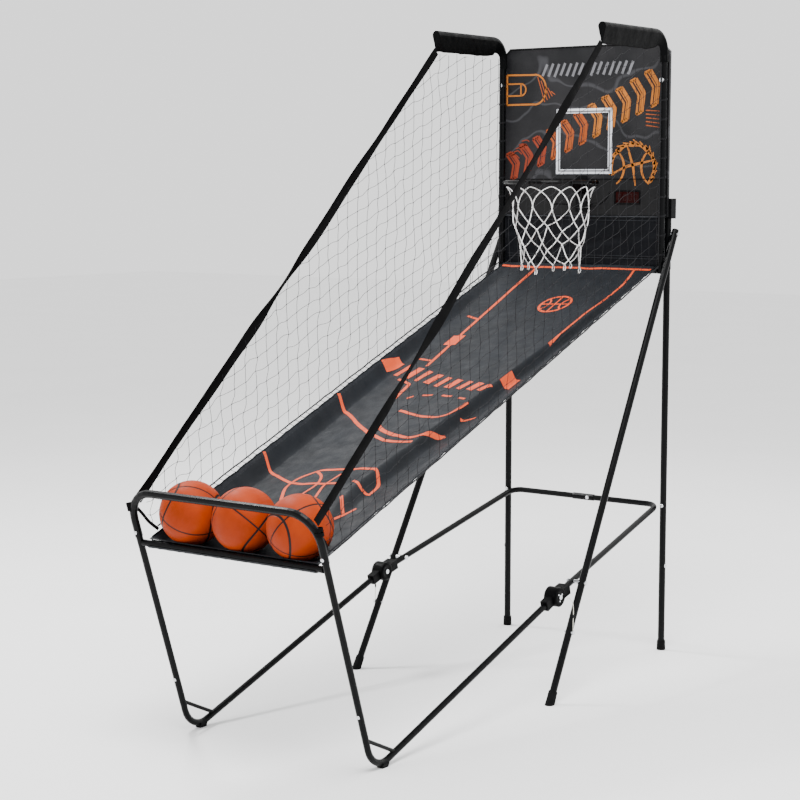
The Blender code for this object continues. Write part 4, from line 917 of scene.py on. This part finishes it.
for i in range(N):
    top_ = net_node(i, 0)
    l_, r_ = net_node((i - 0.5) % N, 1), net_node((i + 0.5) % N, 1)
    arch = []
    for t in np.linspace(0, math.pi, 33):
        h = math.sin(t) ** 0.95
        foot = l_ if t < math.pi / 2 else r_
        off_ = abs(math.cos(t)) ** 1.5
        side_ = shift(top_, -0.012 if t < math.pi / 2 else 0.012)
        q_ = foot[:2] * off_ + side_[:2] * (1 - off_)
        arch.append((*q_, foot[2] + (top_[2] + 0.002 - foot[2]) * h))
    hn.tube(curve(arch[::2], 0.006), 0.0018, 8)
    for k in range(1, LV):
        at_ = (i + 0.5 * (k % 2)) % N
        a_ = net_node(at_, k)
        for d_ in (-0.5, 0.5):
            b_ = net_node((at_ + d_) % N, k + 1)
            m_ = (a_ + b_) / 2 + np.array((0, 0, -0.007))
            out_ = np.array((*(m_[:2] - c0), 0)) * 0.03 * math.sin(i * 2.1 + k)
            hn.tube(curve([a_, m_ + out_, b_], 0.006), 0.0018, 8)
    for k in range(1, LV + 1):
        hn.knot(net_node((i + 0.5 * (k % 2)) % N, k), 0.0036, 6, 8)
    e_ = net_node((i + 0.5 * (LV % 2)) % N, LV)
    for w_ in (-1, 1):
        hn.tube(curve([e_, e_ + (0.004 * w_, 0.002, -0.010), e_ + (0.002 * w_, -0.002, -0.020)], 0.004), 0.0015, 7)
    a_ = math.atan2(*(top_[:2] - c0)[::-1])
    rad_ = np.array((math.cos(a_), math.sin(a_), 0))
    rc = np.array((*c0, mid("hoop_ring")[2])) + rad_ * 0.150
    ang = np.linspace(0, 2 * math.pi, 22)
    hooks.tube([rc + (0.0075 * math.cos(q)) * rad_ + np.array((0, 0, 0.0098 * math.sin(q) - 0.0026)) for q in ang], 0.0012, 6, False)
hn.make("hoop_net_cords", "hoop_cord", "rear_frame", "hoop_cord", ("hoop_net",))
hooks.make("net_ties", "black_plastic", "rear_frame", "hoop_cord")

# ------------------------------------------------------------------ balls
for tag, turn in (("left", (0.5, 0.3, 0.6)), ("middle", (-0.5, 0.55, 0.2)), ("right", (0.75, -0.35, 1.1))):
    c_ = mid(f"ball_{tag}")
    rows_, cols_ = 48, 72
    v_, f_ = [], []
    for i in range(rows_ + 1):
        th = math.pi * (i + 1e-4) / (rows_ + 2e-4)
        for j in range(cols_):
            ph = 2 * math.pi * j / cols_
            v_.append((math.sin(th) * math.cos(ph), math.sin(th) * math.sin(ph), math.cos(th)))
    for i in range(rows_):
        for j in range(cols_):
            f_.append([i * cols_ + j, (i + 1) * cols_ + j, (i + 1) * cols_ + (j + 1) % cols_, i * cols_ + (j + 1) % cols_])
    v_ = np.array(v_)
    d_ = np.minimum(np.minimum(np.abs(v_[:, 1]), np.abs(v_[:, 2])), np.abs(np.abs(v_[:, 0]) - (0.74 - 0.22 * v_[:, 2] ** 2)))
    v_ = v_ * (0.0889 - 0.0009 * (1 - smooth(0.008, 0.03, d_)))[:, None]
    spin = np.array(Matrix.Rotation(turn[2], 3, "Z") @ Matrix.Rotation(turn[1], 3, "Y") @ Matrix.Rotation(turn[0], 3, "X"))
    o = piece(f"basketball_{tag}", v_ @ spin.T + c_, f_, "ball_orange", f"ball_{tag}_body", (f"ball_{tag}",))
    place = o.data.attributes.new("seam_place", "FLOAT_VECTOR", "POINT")
    place.data.foreach_set("vector", (v_ * 10).astype(np.float32).ravel())

# ------------------------------------------------------------------ small hardware
dome = [(0, 0.0062), (0.0012, 0.0062), (0.0026, 0.0052), (0.0036, 0.0034), (0.0041, 0.0012)]
hw, hwf = Soup(), Soup()
for s in (-1, 1):
    lx = mid("rear_leg_left" if s < 0 else "rear_leg_right")[0]
    hw.lathe(dome, (lx + s * 0.0108, RY, 0.285), (s, 0, 0), 14)
    hw.lathe(dome, (lx, RY - 0.0108, mid("rear_bar_sleeve")[2]), (0, -1, 0), 14)
    hw.lathe(dome, (lx + s * 0.0122, RY, 1.300), (s, 0, 0), 14)
    for zz in (0.606, 0.163):
        yy = FB[1] - (zz - FB[2]) * math.tan(math.radians(18.3))
        rr = 0.0110 if zz > 0.3 else 0.0095
        nrm = (0, -math.cos(math.radians(18.3)), -math.sin(math.radians(18.3)))
        hwf.lathe([(h * 0.9, r * 0.9) for h, r in dome], (s * 0.325, yy + nrm[1] * (rr - 0.001), zz + nrm[2] * (rr - 0.001)), nrm, 14)
rlo, rhi = box("front_rail")
hwf.lathe(dome, (-0.20, rlo[1] + 0.009, rhi[2] - 0.0210), (0, -0.35, -0.9), 14)
hw.lathe(dome, (0.02, RY - 0.0108, mid("rear_bar_sleeve")[2]), (0, -1, 0), 14)
hw.make("rear_rivets", "chrome", "rear_frame", "chrome")
hwf.make("front_rivets", "chrome", "front_frame", "chrome")
for tag, s in (("left", -1), ("right", 1)):
    kp = mid(f"knuckle_pin_{tag}")
    kd = Soup()
    for sd in (-1, 1):
        x_ = kp[0] + sd * 0.0187
        kd.lathe([(0.0, 0.0275), (0.002, 0.0275), (0.0035, 0.0255), (0.0036, 0.018), (0.0026, 0.0165), (0.0026, 0.0085)], (x_, kp[1], kp[2]), (sd, 0, 0), 36)
        for q in range(16):
            a_ = 2 * math.pi * q / 16
            kd.knot((x_ + sd * 0.0034, kp[1] + 0.0217 * math.cos(a_), kp[2] + 0.0217 * math.sin(a_)), 0.0016, 4, 6)
    kd.make(f"knuckle_discs_{tag}", "black_plastic", "rear_frame", "black_plastic")
    ks = Soup()
    for a_ in (0.6, 2.4, 4.6):
        ks.lathe([(0, 0.003), (0.0012, 0.0028), (0.0018, 0.0016)], (kp[0] + s * 0.0205, kp[1] + 0.0125 * math.cos(a_), kp[2] + 0.0125 * math.sin(a_)), (s, 0, 0), 12)
    ks.make(f"knuckle_screws_{tag}", "chrome", "rear_frame", "chrome")
    # ribs on the rubber feet
    rb = Soup()
    for zc in (0.010, 0.016, 0.022):
        a_ = np.linspace(0, 2 * math.pi, 33)
        r_ = 0.0141 - zc * 0.02
        rb.tube(np.column_stack([s * 0.3055 + r_ * np.cos(a_), RY + r_ * np.sin(a_), np.full_like(a_, zc)]), 0.0008, 6, False)
    rb.make(f"foot_ribs_{tag}", "rubber", "rear_frame", "rubber")
